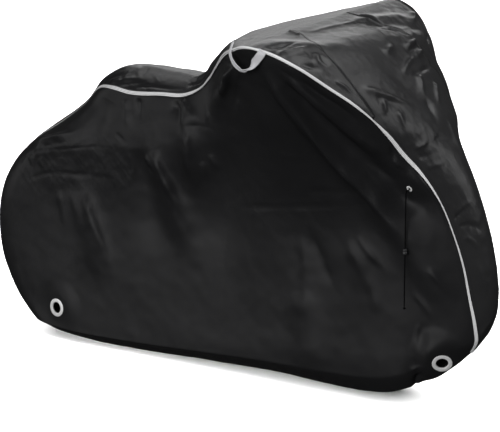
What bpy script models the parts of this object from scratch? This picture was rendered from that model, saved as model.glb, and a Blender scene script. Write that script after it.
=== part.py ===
"""Fitted bicycle cover: two side panels, a strip over the top, a front shield with
two corner wedges, reflective tape on the seams, a strap loop, eyelets and a draw cord.

Metres, +X to the front wheel, +Z up, the near side at -Y. The origin is where the
cover rests on the handlebar, under the middle of its ridge.
"""

import math

import bpy
import numpy as np
from mathutils import Matrix, Vector
from mathutils.bvhtree import BVHTree

# ------------------------------------------------------------------ driving sizes
CLOTH = 0.0015  # thickness of the coated cloth
SUPPORT_HEIGHT = 1.150  # handlebar support above the lowest hem
SUPPORT_STATION = 0.020  # and forward of the near end of the bar
FIT_GAP = 0.0004  # between pieces that lie on each other
GROOVE_SLACK = 0.0010  # beside the cloth in a ring's groove
TAPE_LIFT = 0.0009  # under the tape, which bridges the seam's small steps
BUTT_GAP = 0.0005  # half the gap of a seam without tape

SET_BACK = 0.003  # from a taped seam line to the cut edge of the cloth
TAPE_FLAT = 0.012  # cloth kept straight beside a taped seam
TAPE_REACH = 0.0065  # each half of the tape, out from the seam line
TAPE_THICK = 0.001

EYELET_RADIUS = 0.032  # bottom eyelets, over their flanges
EYELET_HOLE = 0.019
CORD_RING_RADIUS = 0.0105  # ring that the draw cord leaves by
CORD_RING_HOLE = 0.0045
CORD = 0.004
CORD_DROP = 0.365  # from its ring down to the knot
LOCK_DROP = 0.193  # from its ring down to the cord lock
WEBBING = 0.025  # width of the strap loop
WEBBING_THICK = 0.0016

SIDE_COLUMNS = 32
END_ROWS = 20
STRIP_COLUMNS = 6
SHIELD_COLUMNS = 10
WEDGE_COLUMNS = 3
END_EASE = 0.55  # how much a grid tightens towards its ends

# The near seam, from the rear hem over the saddle and the bar to the front hem.
# Station is from the near end of the bar, height from the lowest hem, crown is how
# far the strip stands out at mid-width, and square is how flat-topped its arch is.
SEAM_ROWS = {
    # place: (station, half width, height, crown, square)
    "rear hem": (-1.110, 0.030, 0.030, 0.010, 2.0),
    "wheel low": (-1.228, 0.026, 0.130, 0.010, 2.0),
    "wheel back": (-1.296, 0.024, 0.245, 0.010, 2.0),
    "wheel axle": (-1.312, 0.022, 0.355, 0.010, 2.0),
    "wheel high": (-1.288, 0.022, 0.478, 0.010, 2.0),
    "wheel top": (-1.224, 0.022, 0.578, 0.010, 2.0),
    "mudguard": (-1.134, 0.024, 0.654, 0.012, 2.0),
    "tail slope": (-1.022, 0.028, 0.722, 0.014, 2.0),
    "saddle tail": (-0.900, 0.040, 0.804, 0.020, 2.0),
    "saddle back": (-0.812, 0.078, 0.870, 0.038, 2.3),
    "saddle rear": (-0.735, 0.110, 0.880, 0.064, 2.5),
    "saddle": (-0.657, 0.120, 0.873, 0.076, 2.5),
    "saddle mid": (-0.532, 0.120, 0.880, 0.067, 2.5),
    "saddle nose": (-0.422, 0.120, 0.889, 0.059, 2.5),
    "dip": (-0.365, 0.122, 0.915, 0.056, 2.2),
    "neck low": (-0.325, 0.132, 0.950, 0.068, 2.2),
    "neck": (-0.268, 0.175, 0.997, 0.070, 2.5),
    "stem": (-0.170, 0.272, 1.058, 0.052, 3.6),
    "bar rear": (-0.085, 0.350, 1.091, 0.025, 7.0),
    "bar end": (0.003, 0.398, 1.115, 0.006, 7.0),
    "bar front": (0.078, 0.402, 1.108, 0.008, 5.0),
    "brow": (0.184, 0.385, 1.066, 0.042, 4.0),
    "shield high": (0.268, 0.330, 0.998, 0.048, 3.2),
    "shield": (0.322, 0.290, 0.953, 0.042, 3.0),
    "shield mid": (0.362, 0.245, 0.903, 0.048, 2.6),
    "pinch": (0.393, 0.203, 0.850, 0.060, 2.4),
    "shield low": (0.416, 0.167, 0.798, 0.068, 2.2),
    "throat": (0.451, 0.137, 0.748, 0.070, 2.0),
    "fender": (0.513, 0.102, 0.651, 0.068, 2.0),
    "front high": (0.555, 0.091, 0.555, 0.064, 2.0),
    "front upper": (0.588, 0.083, 0.458, 0.058, 2.0),
    "front axle": (0.613, 0.078, 0.360, 0.052, 2.0),
    "front lower": (0.634, 0.074, 0.262, 0.034, 2.0),
    "front low": (0.636, 0.070, 0.225, 0.022, 2.0),
    "front hem": (0.615, 0.062, 0.180, 0.014, 2.0),
}
REAR_CORNER = "saddle back"
BAR_CORNER = "bar end"
WEDGE_END = "shield mid"

# The far seam mirrors the near one, moved by this much: the bar is turned a little.
FAR_ROWS = {
    # place: (forward, outward, up)
    "saddle nose": (0.000, 0.000, 0.000),
    "stem": (0.015, 0.010, 0.025),
    "bar rear": (0.028, 0.022, 0.050),
    "bar end": (0.036, 0.026, 0.064),
    "bar front": (0.030, 0.014, 0.048),
    "brow": (0.006, -0.022, 0.018),
    "shield high": (0.000, -0.035, 0.000),
    "pinch": (0.000, 0.000, 0.000),
    "front axle": (0.000, 0.000, 0.000),
    "front hem": (-0.025, -0.020, 0.050),
}

# The lower edge of a side panel, tucked under, from the rear hem to the front hem.
HEM_ROWS = (
    # station, half width, height
    (-1.110, 0.030, 0.030),
    (-1.040, 0.070, 0.000),
    (-0.960, 0.080, -0.012),
    (-0.880, 0.080, -0.018),
    (-0.655, 0.072, -0.020),
    (-0.375, 0.070, -0.010),
    (-0.105, 0.072, -0.002),
    (0.090, 0.080, -0.002),
    (0.265, 0.095, 0.004),
    (0.350, 0.098, 0.018),
    (0.432, 0.085, 0.050),
    (0.475, 0.075, 0.074),
    (0.530, 0.066, 0.112),
    (0.580, 0.062, 0.148),
    (0.615, 0.062, 0.180),
)

# How far a side panel stands out from the flat patch between its seams, less towards
# its front, and the share of its length or height in which it turns in to each edge.
BELLY = 0.062
FRONT_BELLY = 0.026
REAR_TURN = 0.075
FRONT_TURN = 0.07
HEM_TURN = 0.045
TOP_TURN = 0.40

# The seams between the shield and its wedges: where each crosses the strip.
WEDGE_ROWS = (
    # share of the way from the bar to the wedge's tip, place across (1 is the seam)
    (0.0, 0.50),
    (0.25, 0.62),
    (0.5, 0.78),
    (0.75, 0.90),
    (1.0, 0.955),
)

# Folds of the near side panel, each along a curve from its start past its bend to its
# end, by station and height. Rise is how far it stands out, or sinks in if negative.
NEAR_FOLDS = {
    # name: (start station, height, bend station, height, end station, height,
    #        start width, end width, rise)
    "bar ridge": (0.064, 1.050, 0.145, 0.780, 0.545, 0.430, 0.028, 0.060, 0.027),
    "ridge hollow": (0.110, 1.010, 0.220, 0.820, 0.520, 0.540, 0.030, 0.050, -0.024),
    "second ridge": (0.140, 1.020, 0.240, 0.930, 0.370, 0.760, 0.028, 0.036, 0.014),
    "under tape": (0.170, 1.030, 0.270, 0.960, 0.350, 0.860, 0.026, 0.030, -0.010),
    "neck fold": (-0.110, 1.030, -0.230, 0.940, -0.300, 0.840, 0.034, 0.040, 0.016),
    "saddle drop": (-0.420, 0.850, -0.395, 0.740, -0.394, 0.540, 0.034, 0.044, 0.013),
    "middle fold": (-0.555, 0.690, -0.510, 0.540, -0.420, 0.380, 0.036, 0.052, 0.018),
    "middle hollow": (-0.620, 0.690, -0.600, 0.500, -0.540, 0.320, 0.040, 0.060, -0.012),
    "rear fold": (-0.862, 0.510, -0.850, 0.400, -0.790, 0.250, 0.036, 0.056, 0.016),
    "tail hollow": (-0.760, 0.840, -0.800, 0.650, -0.930, 0.420, 0.040, 0.070, -0.012),
    "tail highlight": (-1.080, 0.620, -0.990, 0.670, -0.860, 0.710, 0.030, 0.036, 0.011),
    "low ridge": (0.330, 0.600, 0.440, 0.480, 0.580, 0.300, 0.034, 0.050, 0.011),
    "long drape": (0.020, 0.980, -0.060, 0.620, -0.180, 0.260, 0.060, 0.110, 0.012),
    "mid drape": (-0.150, 0.900, -0.260, 0.620, -0.330, 0.300, 0.050, 0.090, -0.012),
    "front pinch": (0.470, 0.240, 0.455, 0.150, 0.440, 0.040, 0.020, 0.026, -0.014),
    "hem wave": (0.020, 0.300, 0.060, 0.160, 0.090, 0.010, 0.050, 0.080, 0.010),
}
# The far side hangs in plainer folds of its own.
FAR_FOLDS = {
    "bar ridge": (0.070, 1.080, 0.160, 0.740, 0.540, 0.360, 0.024, 0.070, 0.022),
    "ridge hollow": (0.110, 1.060, 0.260, 0.800, 0.580, 0.500, 0.024, 0.050, -0.015),
    "neck fold": (-0.140, 1.010, -0.260, 0.850, -0.310, 0.640, 0.026, 0.050, 0.013),
    "saddle drop": (-0.500, 0.860, -0.520, 0.700, -0.480, 0.460, 0.030, 0.050, 0.012),
    "middle fold": (-0.640, 0.720, -0.700, 0.520, -0.760, 0.260, 0.030, 0.060, 0.014),
    "rear hollow": (-0.820, 0.780, -0.900, 0.560, -0.960, 0.300, 0.040, 0.070, -0.013),
    "long drape": (0.000, 0.960, -0.040, 0.560, -0.100, 0.220, 0.070, 0.110, 0.013),
    "mid drape": (-0.230, 0.800, -0.260, 0.520, -0.280, 0.240, 0.060, 0.090, -0.012),
    "low ridge": (0.300, 0.520, 0.420, 0.360, 0.520, 0.180, 0.040, 0.060, 0.011),
}
# Folds of the strip and shield, by distance along the seam from the bar and distance
# across from the middle.
STRIP_FOLDS = {
    "far corner": (0.060, 0.080, 0.090, 0.200, 0.140, 0.360, 0.018, 0.026, 0.012),
    "far crease": (0.120, 0.100, 0.150, 0.200, 0.200, 0.330, 0.020, 0.026, -0.010),
    "shield streak": (0.270, -0.220, 0.310, -0.120, 0.360, -0.020, 0.022, 0.030, 0.012),
    "far drop": (0.200, 0.200, 0.320, 0.120, 0.480, 0.070, 0.030, 0.040, 0.012),
    "near hollow": (0.330, -0.060, 0.420, 0.000, 0.540, 0.010, 0.030, 0.040, -0.010),
    "throat crumple": (0.600, -0.060, 0.640, -0.020, 0.660, 0.040, 0.022, 0.026, -0.009),
    "wedge bulge": (0.040, -0.330, 0.110, -0.250, 0.200, -0.230, 0.030, 0.036, 0.012),
    "neck crease": (-0.330, -0.060, -0.250, -0.110, -0.160, -0.200, 0.026, 0.036, -0.012),
    "seat sag": (-0.760, 0.020, -0.640, -0.010, -0.500, 0.010, 0.040, 0.040, -0.006),
}

# The bottom eyelets, by station and height, and how each faces: forward, outward, up.
EYELETS = {
    "near": {
        "rear": (-0.977, 0.091, (-0.10, 1.00, 0.02)),
        "front": (0.531, 0.141, (0.50, 0.78, -0.38)),
    },
    "far": {
        "rear": (-0.960, 0.095, (-0.08, 1.00, 0.00)),
        "front": (0.505, 0.195, (0.30, 0.92, -0.20)),
    },
}
CORD_RING_PLACE = (0.425, 0.685)
EYELET_FLAT = (0.072, 0.120)  # flat round an eyelet, and where its cloth is free again
CORD_RING_FLAT = (0.068, 0.120)

CORD_CLEARANCE = 0.0085  # from the panel's bulge to the hanging cord's middle

# The strap loop, from its end on the strip over the tape and back up to the tape.
LOOP_ROWS = (
    # station, side, height, width direction: forward, side, up
    (-0.1124, -0.2753, 1.1026, 0.82, 0.24, 0.42),
    (-0.1052, -0.2925, 1.1002, 0.82, 0.24, 0.49),
    (-0.0970, -0.3130, 1.0985, 0.82, 0.24, 0.49),
    (-0.0880, -0.3380, 1.1010, 0.82, 0.20, 0.40),
    (-0.0770, -0.3600, 1.1000, 0.80, -0.10, 0.35),
    (-0.0610, -0.3780, 1.0905, 0.68, -0.55, 0.30),
    (-0.0446, -0.3950, 1.0793, 0.56, -0.80, 0.22),
    (-0.0179, -0.4150, 1.0649, 0.50, -0.85, 0.10),
    (0.0144, -0.4320, 1.0510, -0.10, -0.95, 0.30),
    (0.0359, -0.4340, 1.0587, -0.60, -0.60, 0.50),
    (0.0550, -0.4290, 1.0766, -0.85, -0.30, 0.40),
    (0.0680, -0.4180, 1.0950, -0.92, -0.15, 0.35),
    (0.0745, -0.4058, 1.1103, -0.93, -0.10, 0.33),
)


class Track:
    """A smooth curve through rows of values, read by distance along it."""

    def __init__(self, rows):
        self.rows = np.array(rows, dtype=float)
        steps = np.linalg.norm(np.diff(self.rows[:, :3], axis=0), axis=1)
        self.keys = np.concatenate(([0.0], np.cumsum(steps)))
        self.slopes = np.gradient(self.rows, self.keys, axis=0)

    def at(self, distance):
        """The row of values at each distance."""
        distance = np.clip(np.asarray(distance, dtype=float), 0.0, self.keys[-1])
        cell = np.clip(np.searchsorted(self.keys, distance) - 1, 0, len(self.keys) - 2)
        span = (self.keys[cell + 1] - self.keys[cell])[:, None]
        t = (distance - self.keys[cell])[:, None] / span
        start, end = self.rows[cell], self.rows[cell + 1]
        leave, arrive = self.slopes[cell] * span, self.slopes[cell + 1] * span
        return (
            (2 * t**3 - 3 * t**2 + 1) * start
            + (t**3 - 2 * t**2 + t) * leave
            + (3 * t**2 - 2 * t**3) * end
            + (t**3 - t**2) * arrive
        )


SEAM = Track(list(SEAM_ROWS.values()))
HEM = Track(HEM_ROWS)
SEAM_KEYS = dict(zip(SEAM_ROWS, SEAM.keys))
REAR_KEY = SEAM_KEYS[REAR_CORNER]
BAR_KEY = SEAM_KEYS[BAR_CORNER]
END_KEY = SEAM.keys[-1]


def shares(count, ease=END_EASE):
    """Values from 0 to 1 that lie closer together towards both ends."""
    even = np.linspace(0.0, 1.0, count + 1)
    return (1 - ease) * even + ease * (1 - np.cos(math.pi * even)) / 2


def smooth(value):
    """An S-shaped ramp from 0 to 1."""
    value = np.clip(value, 0.0, 1.0)
    return value * value * (3 - 2 * value)


def unit(vectors):
    """Vectors of length one."""
    return vectors / np.linalg.norm(vectors, axis=-1)[..., None]


def seam_points(distance, side):
    """Points on the taped seam of one side (-1 near, +1 far)."""
    row = SEAM.at(distance)
    station, half, height = row[:, 0], row[:, 1], row[:, 2]
    if side > 0:
        keys = [SEAM_KEYS[place] for place in FAR_ROWS]
        forward, outward, up = (
            np.interp(distance, keys, move) for move in zip(*FAR_ROWS.values())
        )
        station, half, height = station + forward, half + outward, height + up
    return np.column_stack(
        (station - SUPPORT_STATION, side * half, height - SUPPORT_HEIGHT)
    )


def hem_points(share, side):
    """Points on the lower edge of a side panel, by share of its length."""
    row = HEM.at(share * HEM.keys[-1])
    if side > 0:
        row = row + smooth((share[:, None] - 0.6) / 0.4) * FAR_ROWS["front hem"]
    return np.column_stack(
        (row[:, 0] - SUPPORT_STATION, side * row[:, 1], row[:, 2] - SUPPORT_HEIGHT)
    )


REAR_STATIONS = REAR_KEY * shares(END_ROWS)
TOP_STATIONS = REAR_KEY + (BAR_KEY - REAR_KEY) * shares(SIDE_COLUMNS)
FRONT_STATIONS = END_KEY + (BAR_KEY - END_KEY) * shares(END_ROWS)


def fold_heights(flat, folds):
    """How far the folds move each point of a flat map of a cloth."""
    total = np.zeros(flat.shape[:-1])
    steps = np.linspace(0.0, 1.0, 25)
    for x0, h0, x1, h1, x2, h2, start_width, end_width, rise in folds.values():
        start, bend, end = np.array([[x0, h0], [x1, h1], [x2, h2]])
        nearest = np.full(flat.shape[:-1], np.inf)
        along = np.zeros(flat.shape[:-1])
        for t in steps:
            spot = (1 - t) ** 2 * start + 2 * t * (1 - t) * bend + t * t * end
            away = np.linalg.norm(flat - spot, axis=-1)
            along = np.where(away < nearest, t, along)
            nearest = np.minimum(nearest, away)
        width = start_width + (end_width - start_width) * along
        total += rise * np.exp(-((nearest / width) ** 2)) * smooth((1 - along) / 0.25 + 0.1)
    return total


def grid_normals(grid, side):
    """Unit normals of a grid of points, pointing out of the cover."""
    rows = np.gradient(grid, axis=0)
    columns = np.gradient(grid, axis=1)
    return unit(np.cross(columns, rows)) * -side


def flatten(grid, centre, normal, radii):
    """Make a grid flat around a point, within the first radius."""
    offset = grid - centre
    above = offset @ normal
    away = np.linalg.norm(offset - above[..., None] * normal, axis=-1)
    share = 1 - smooth((away - radii[0]) / (radii[1] - radii[0]))
    share[:, [0, -1]] = share[-1] = 0.0
    near = np.abs(above) < radii[1]
    return grid - (share * above * near)[..., None] * normal


def side_patch(side):
    """A side panel before its folds, rows from the hem up, columns from the rear."""
    left = seam_points(REAR_STATIONS, side)[:, None, :]
    right = seam_points(FRONT_STATIONS, side)[:, None, :]
    top = seam_points(TOP_STATIONS, side)[None, :, :]
    bottom = hem_points(shares(SIDE_COLUMNS), side)[None, :, :]
    across = shares(SIDE_COLUMNS)[None, :, None]
    up = shares(END_ROWS)[:, None, None]
    corners = (
        (1 - across) * (1 - up) * left[0, 0]
        + across * (1 - up) * right[0, 0]
        + (1 - across) * up * left[-1, 0]
        + across * up * right[-1, 0]
    )
    grid = (1 - up) * bottom + up * top + (1 - across) * left + across * right - corners
    rear = np.sqrt(1 - (1 - np.clip(across / REAR_TURN, 0, 1)) ** 2)
    front = 1 - (1 - np.clip((1 - across) / FRONT_TURN, 0, 1)) ** 2
    low = np.clip(up / HEM_TURN, 0, 1)
    high = 1 - (1 - np.clip((1 - up) / TOP_TURN, 0, 1)) ** 2
    belly = BELLY + (FRONT_BELLY - BELLY) * smooth((across - 0.55) / 0.35)
    grid[:, :, 1] += (side * belly * rear * front * low * high)[:, :, 0]

    flat = grid[:, :, [0, 2]] + (SUPPORT_STATION, SUPPORT_HEIGHT)
    inside = np.minimum(np.minimum(across, 1 - across), (1 - up) * 0.6)[:, :, 0]
    rise = fold_heights(flat, NEAR_FOLDS if side < 0 else FAR_FOLDS)
    return grid + grid_normals(grid, side) * (rise * smooth(inside / 0.045))[..., None]


def strip_surface(distance, across):
    """Outer surface of the strip between the two seams; across runs from -1 to 1."""
    near = seam_points(distance, -1.0)[:, None, :]
    far = seam_points(distance, 1.0)[:, None, :]
    row = SEAM.at(distance)
    step = 0.002
    run = unit(SEAM.at(distance + step)[:, [0, 2]] - SEAM.at(distance - step)[:, [0, 2]])
    out = np.column_stack((-run[:, 1], np.zeros(len(run)), run[:, 0]))[:, None, :]
    arch = row[:, 3, None] * (1 - np.abs(across) ** row[:, 4, None])
    flat = np.stack(
        (np.broadcast_to((distance - BAR_KEY)[:, None], across.shape), across * row[:, 1, None]),
        axis=-1,
    )
    arch = arch + fold_heights(flat, STRIP_FOLDS) * smooth((1 - np.abs(across)) / 0.15)
    blend = ((across + 1) / 2)[:, :, None]
    return near * (1 - blend) + far * blend + out * arch[:, :, None]


def set_back_edge(grid, axis, at_end, cut=SET_BACK):
    """Pull one edge of a grid back from its seam line and keep it straight there."""
    grid = np.moveaxis(grid, axis, 0)
    if at_end:
        grid = grid[::-1]
    into = unit(grid[1] - grid[0])
    cut = np.broadcast_to(cut, into.shape[:1])[:, None]
    grid = np.concatenate(
        ((grid[0] + into * cut)[None], (grid[0] + into * TAPE_FLAT)[None], grid[1:])
    )
    if at_end:
        grid = grid[::-1]
    return np.moveaxis(grid, 0, axis)


def side_grid(patch):
    """A side panel's grid with its three seam edges set back."""
    grid = set_back_edge(patch, 0, True)
    grid = set_back_edge(grid, 1, False)
    grid = set_back_edge(grid, 1, True)
    # At the two top corners the seam runs nearly straight on, so the cut edge is
    # placed on a line into the panel instead.
    for last, beside in ((0, 1), (-1, -2)):
        corner = patch[-1, last]
        into = unit(patch[-2, beside] - corner)
        along_top = unit(patch[-1, beside] - corner)
        along_end = unit(patch[-2, last] - corner)
        grid[-1, last] = corner + into * SET_BACK
        grid[-2, beside] = corner + into * TAPE_FLAT
        grid[-1, beside] = corner + (along_top + into) * SET_BACK
        grid[-2, last] = corner + (along_end + into) * SET_BACK
    return grid


def wedge_line(distance):
    """Where the wedge seam crosses the strip, as a share of its half width."""
    span = SEAM_KEYS[WEDGE_END] - BAR_KEY
    share = np.clip((distance - BAR_KEY) / span, 0.0, 1.0)
    keys = [r[0] for r in WEDGE_ROWS]
    return np.interp(share, keys, [r[1] for r in WEDGE_ROWS])


# ------------------------------------------------------------------ objects
def clear_scene():
    """Remove whatever the file opened with."""
    for item in list(bpy.data.objects):
        bpy.data.objects.remove(item, do_unlink=True)


def make_material(name, colour, roughness, metallic=0.0):
    """A Principled material."""
    material = bpy.data.materials.new(name)
    material.use_nodes = True
    shader = material.node_tree.nodes["Principled BSDF"]
    shader.inputs["Base Color"].default_value = (*colour, 1.0)
    shader.inputs["Roughness"].default_value = roughness
    shader.inputs["Metallic"].default_value = metallic
    return material


def mesh_object(name, points, faces, material):
    """A new object from points and faces, shaded smooth."""
    mesh = bpy.data.meshes.new(name)
    mesh.from_pydata([tuple(p) for p in points], [], faces)
    mesh.materials.append(material)
    mesh.shade_smooth()
    item = bpy.data.objects.new(name, mesh)
    bpy.context.scene.collection.objects.link(item)
    return item


def grid_faces(rows, columns, turned=False, closed=False):
    """Quads of a grid; closed joins its last column to its first."""
    faces = []
    for r in range(rows - 1):
        for c in range(columns if closed else columns - 1):
            a, b = r * columns + c, r * columns + (c + 1) % columns
            quad = (a, b, b + columns, a + columns)
            faces.append(quad[::-1] if turned else quad)
    return faces


def sheet_object(name, grid, material, turned=False):
    """A cloth sheet: a grid of quads, thickened inwards."""
    faces = grid_faces(*grid.shape[:2], turned)
    item = mesh_object(name, grid.reshape(-1, 3), faces, material)
    thick = item.modifiers.new("thickness", "SOLIDIFY")
    thick.thickness = CLOTH
    thick.offset = -1.0
    thick.use_even_offset = False
    return item


def swept_object(name, rings, material, turned=False):
    """A closed body swept through rings of points, with flat ends."""
    rows, columns = rings.shape[:2]
    faces = grid_faces(rows, columns, turned, closed=True)
    first = tuple(range(columns))
    last = tuple(range((rows - 1) * columns, rows * columns))
    faces += [first if turned else first[::-1], last[::-1] if turned else last]
    return mesh_object(name, rings.reshape(-1, 3), faces, material)


def tape_object(name, seam, panel_in, strip_in, side, material):
    """Tape folded over a seam, one half on each cloth."""
    run = unit(np.gradient(seam, axis=0))
    on_panel = unit(np.cross(panel_in, run)) * -side
    on_strip = unit(np.cross(run, strip_in)) * -side
    middle = unit(on_panel + on_strip)
    lean = np.clip(np.sum(middle * on_panel, axis=1), 0.5, 1.0)[:, None]
    low, high = TAPE_LIFT, TAPE_LIFT + TAPE_THICK
    rings = np.stack(
        (
            seam + panel_in * TAPE_REACH + on_panel * low,
            seam + middle * low / lean,
            seam + strip_in * TAPE_REACH + on_strip * low,
            seam + strip_in * TAPE_REACH + on_strip * high,
            seam + middle * high / lean,
            seam + panel_in * TAPE_REACH + on_panel * high,
        ),
        axis=1,
    )
    return swept_object(name, rings, material, turned=side > 0)


def ring_object(name, centre, normal, sizes, material, steps):
    """A ring turned round its axis, with a groove that holds the cloth's edge."""
    radius, hole, neck, lip = sizes
    half = CLOTH / 2 + GROOVE_SLACK
    profile = (
        (hole, -half - lip),
        (hole, half + lip),
        (radius - lip, half + lip),
        (radius, half + lip / 3),
        (radius, half),
        (neck, half),
        (neck, -half),
        (radius, -half),
        (radius, -half - lip / 3),
        (radius - lip, -half - lip),
    )
    turn = Vector((0, 0, 1)).rotation_difference(Vector(normal)).to_matrix()
    middle = Vector(centre) - Vector(normal) * CLOTH / 2
    rings = np.array(
        [
            [
                middle + turn @ Vector((r * math.cos(angle), r * math.sin(angle), z))
                for r, z in profile
            ]
            for angle in np.linspace(0, 2 * math.pi, steps, endpoint=False)
        ]
    )
    points = np.concatenate((rings, rings[:1]))
    count = len(profile)
    faces = [
        tuple(i % (steps * count) for i in quad)
        for quad in grid_faces(steps + 1, count, False, closed=True)
    ]
    return mesh_object(name, points[:-1].reshape(-1, 3), faces, material)


def cut_round_hole(item, centre, normal, radius, steps):
    """Cut a round hole through a sheet, straight along a normal."""
    turn = Vector((0, 0, 1)).rotation_difference(Vector(normal)).to_matrix().to_4x4()
    depth = 0.012
    rings = np.array(
        [
            [
                Matrix.Translation(centre)
                @ turn
                @ Vector((radius * math.cos(angle), radius * math.sin(angle), z))
                for angle in np.linspace(0, 2 * math.pi, steps, endpoint=False)
            ]
            for z in (-depth, depth)
        ]
    )
    cutter = swept_object("hole_" + item.name, rings, item.data.materials[0])
    cutter.hide_render = True
    cutter.display_type = "WIRE"
    cut = item.modifiers.new("hole", "BOOLEAN")
    cut.operation = "DIFFERENCE"
    cut.solver = "EXACT"
    cut.object = cutter


def surface_at(patch, station, height, side):
    """The point of a side patch at a station and height."""
    rows, columns = patch.shape[:2]
    tree = BVHTree.FromPolygons(
        [Vector(p) for p in patch.reshape(-1, 3)], grid_faces(rows, columns)
    )
    start = Vector((station - SUPPORT_STATION, side, height - SUPPORT_HEIGHT))
    spot, normal, _, _ = tree.ray_cast(start, Vector((0, -side, 0)))
    return np.array(spot), np.array(normal) * math.copysign(1.0, normal.y * side)


def band_object(name, rows, width, thick, material, steps):
    """A flat strap along a curve, each row giving its middle and its width direction."""
    track = Track(rows)
    at = track.at(np.linspace(0, track.keys[-1], steps + 1))
    middle = at[:, :3] - (SUPPORT_STATION, 0, SUPPORT_HEIGHT)
    run = unit(np.gradient(middle, axis=0))
    wide = at[:, 3:6]
    wide = unit(wide - run * np.sum(wide * run, axis=1)[:, None])
    face = np.cross(run, wide)
    rings = np.stack(
        [
            middle + wide * (w * width / 2) + face * (f * thick / 2)
            for w, f in ((-1, -1), (1, -1), (1, 1), (-1, 1))
        ],
        axis=1,
    )
    item = swept_object(name, rings, material)
    item.modifiers.new("triangles", "TRIANGULATE").quad_method = "FIXED"
    return item


def cord_object(name, points, material):
    """A round cord along a smooth curve through its route's points."""
    track = Track(points)
    count = int(track.keys[-1] / (2.4 * CORD))
    curve = bpy.data.curves.new(name, "CURVE")
    curve.dimensions = "3D"
    curve.bevel_depth = CORD / 2
    curve.bevel_resolution = 2
    curve.use_fill_caps = True
    spline = curve.splines.new("POLY")
    spline.points.add(count)
    for point, spot in zip(spline.points, track.at(np.linspace(0, track.keys[-1], count + 1))):
        point.co = (*spot[:3], 1.0)
    curve.materials.append(material)
    item = bpy.data.objects.new(name, curve)
    bpy.context.scene.collection.objects.link(item)
    return item


def turned_object(name, centre, profile, material, steps, closed):
    """A body turned round a vertical axis; closed when its profile leaves a bore."""
    rings = [
        [
            (centre[0] + r * math.cos(angle), centre[1] + r * math.sin(angle), centre[2] + z)
            for r, z in profile
        ]
        for angle in np.linspace(0, 2 * math.pi, steps, endpoint=False)
    ]
    points = [p for ring in rings for p in ring]
    count = len(profile)
    total = steps * count
    faces = [
        tuple(i % total for i in quad)
        for quad in grid_faces(steps + 1, count, False, closed=closed)
    ]
    if not closed:
        faces.append(tuple(i * count for i in range(steps)))
        faces.append(tuple((i + 1) * count - 1 for i in reversed(range(steps))))
    return mesh_object(name, points, faces, material)


def taped_edge(grid, side):
    """Directions from the seam line into a strip piece, one for each of its rows."""
    edge, inner = (0, 1) if side < 0 else (-1, -2)
    return unit(grid[:, inner] - grid[:, edge])


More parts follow.
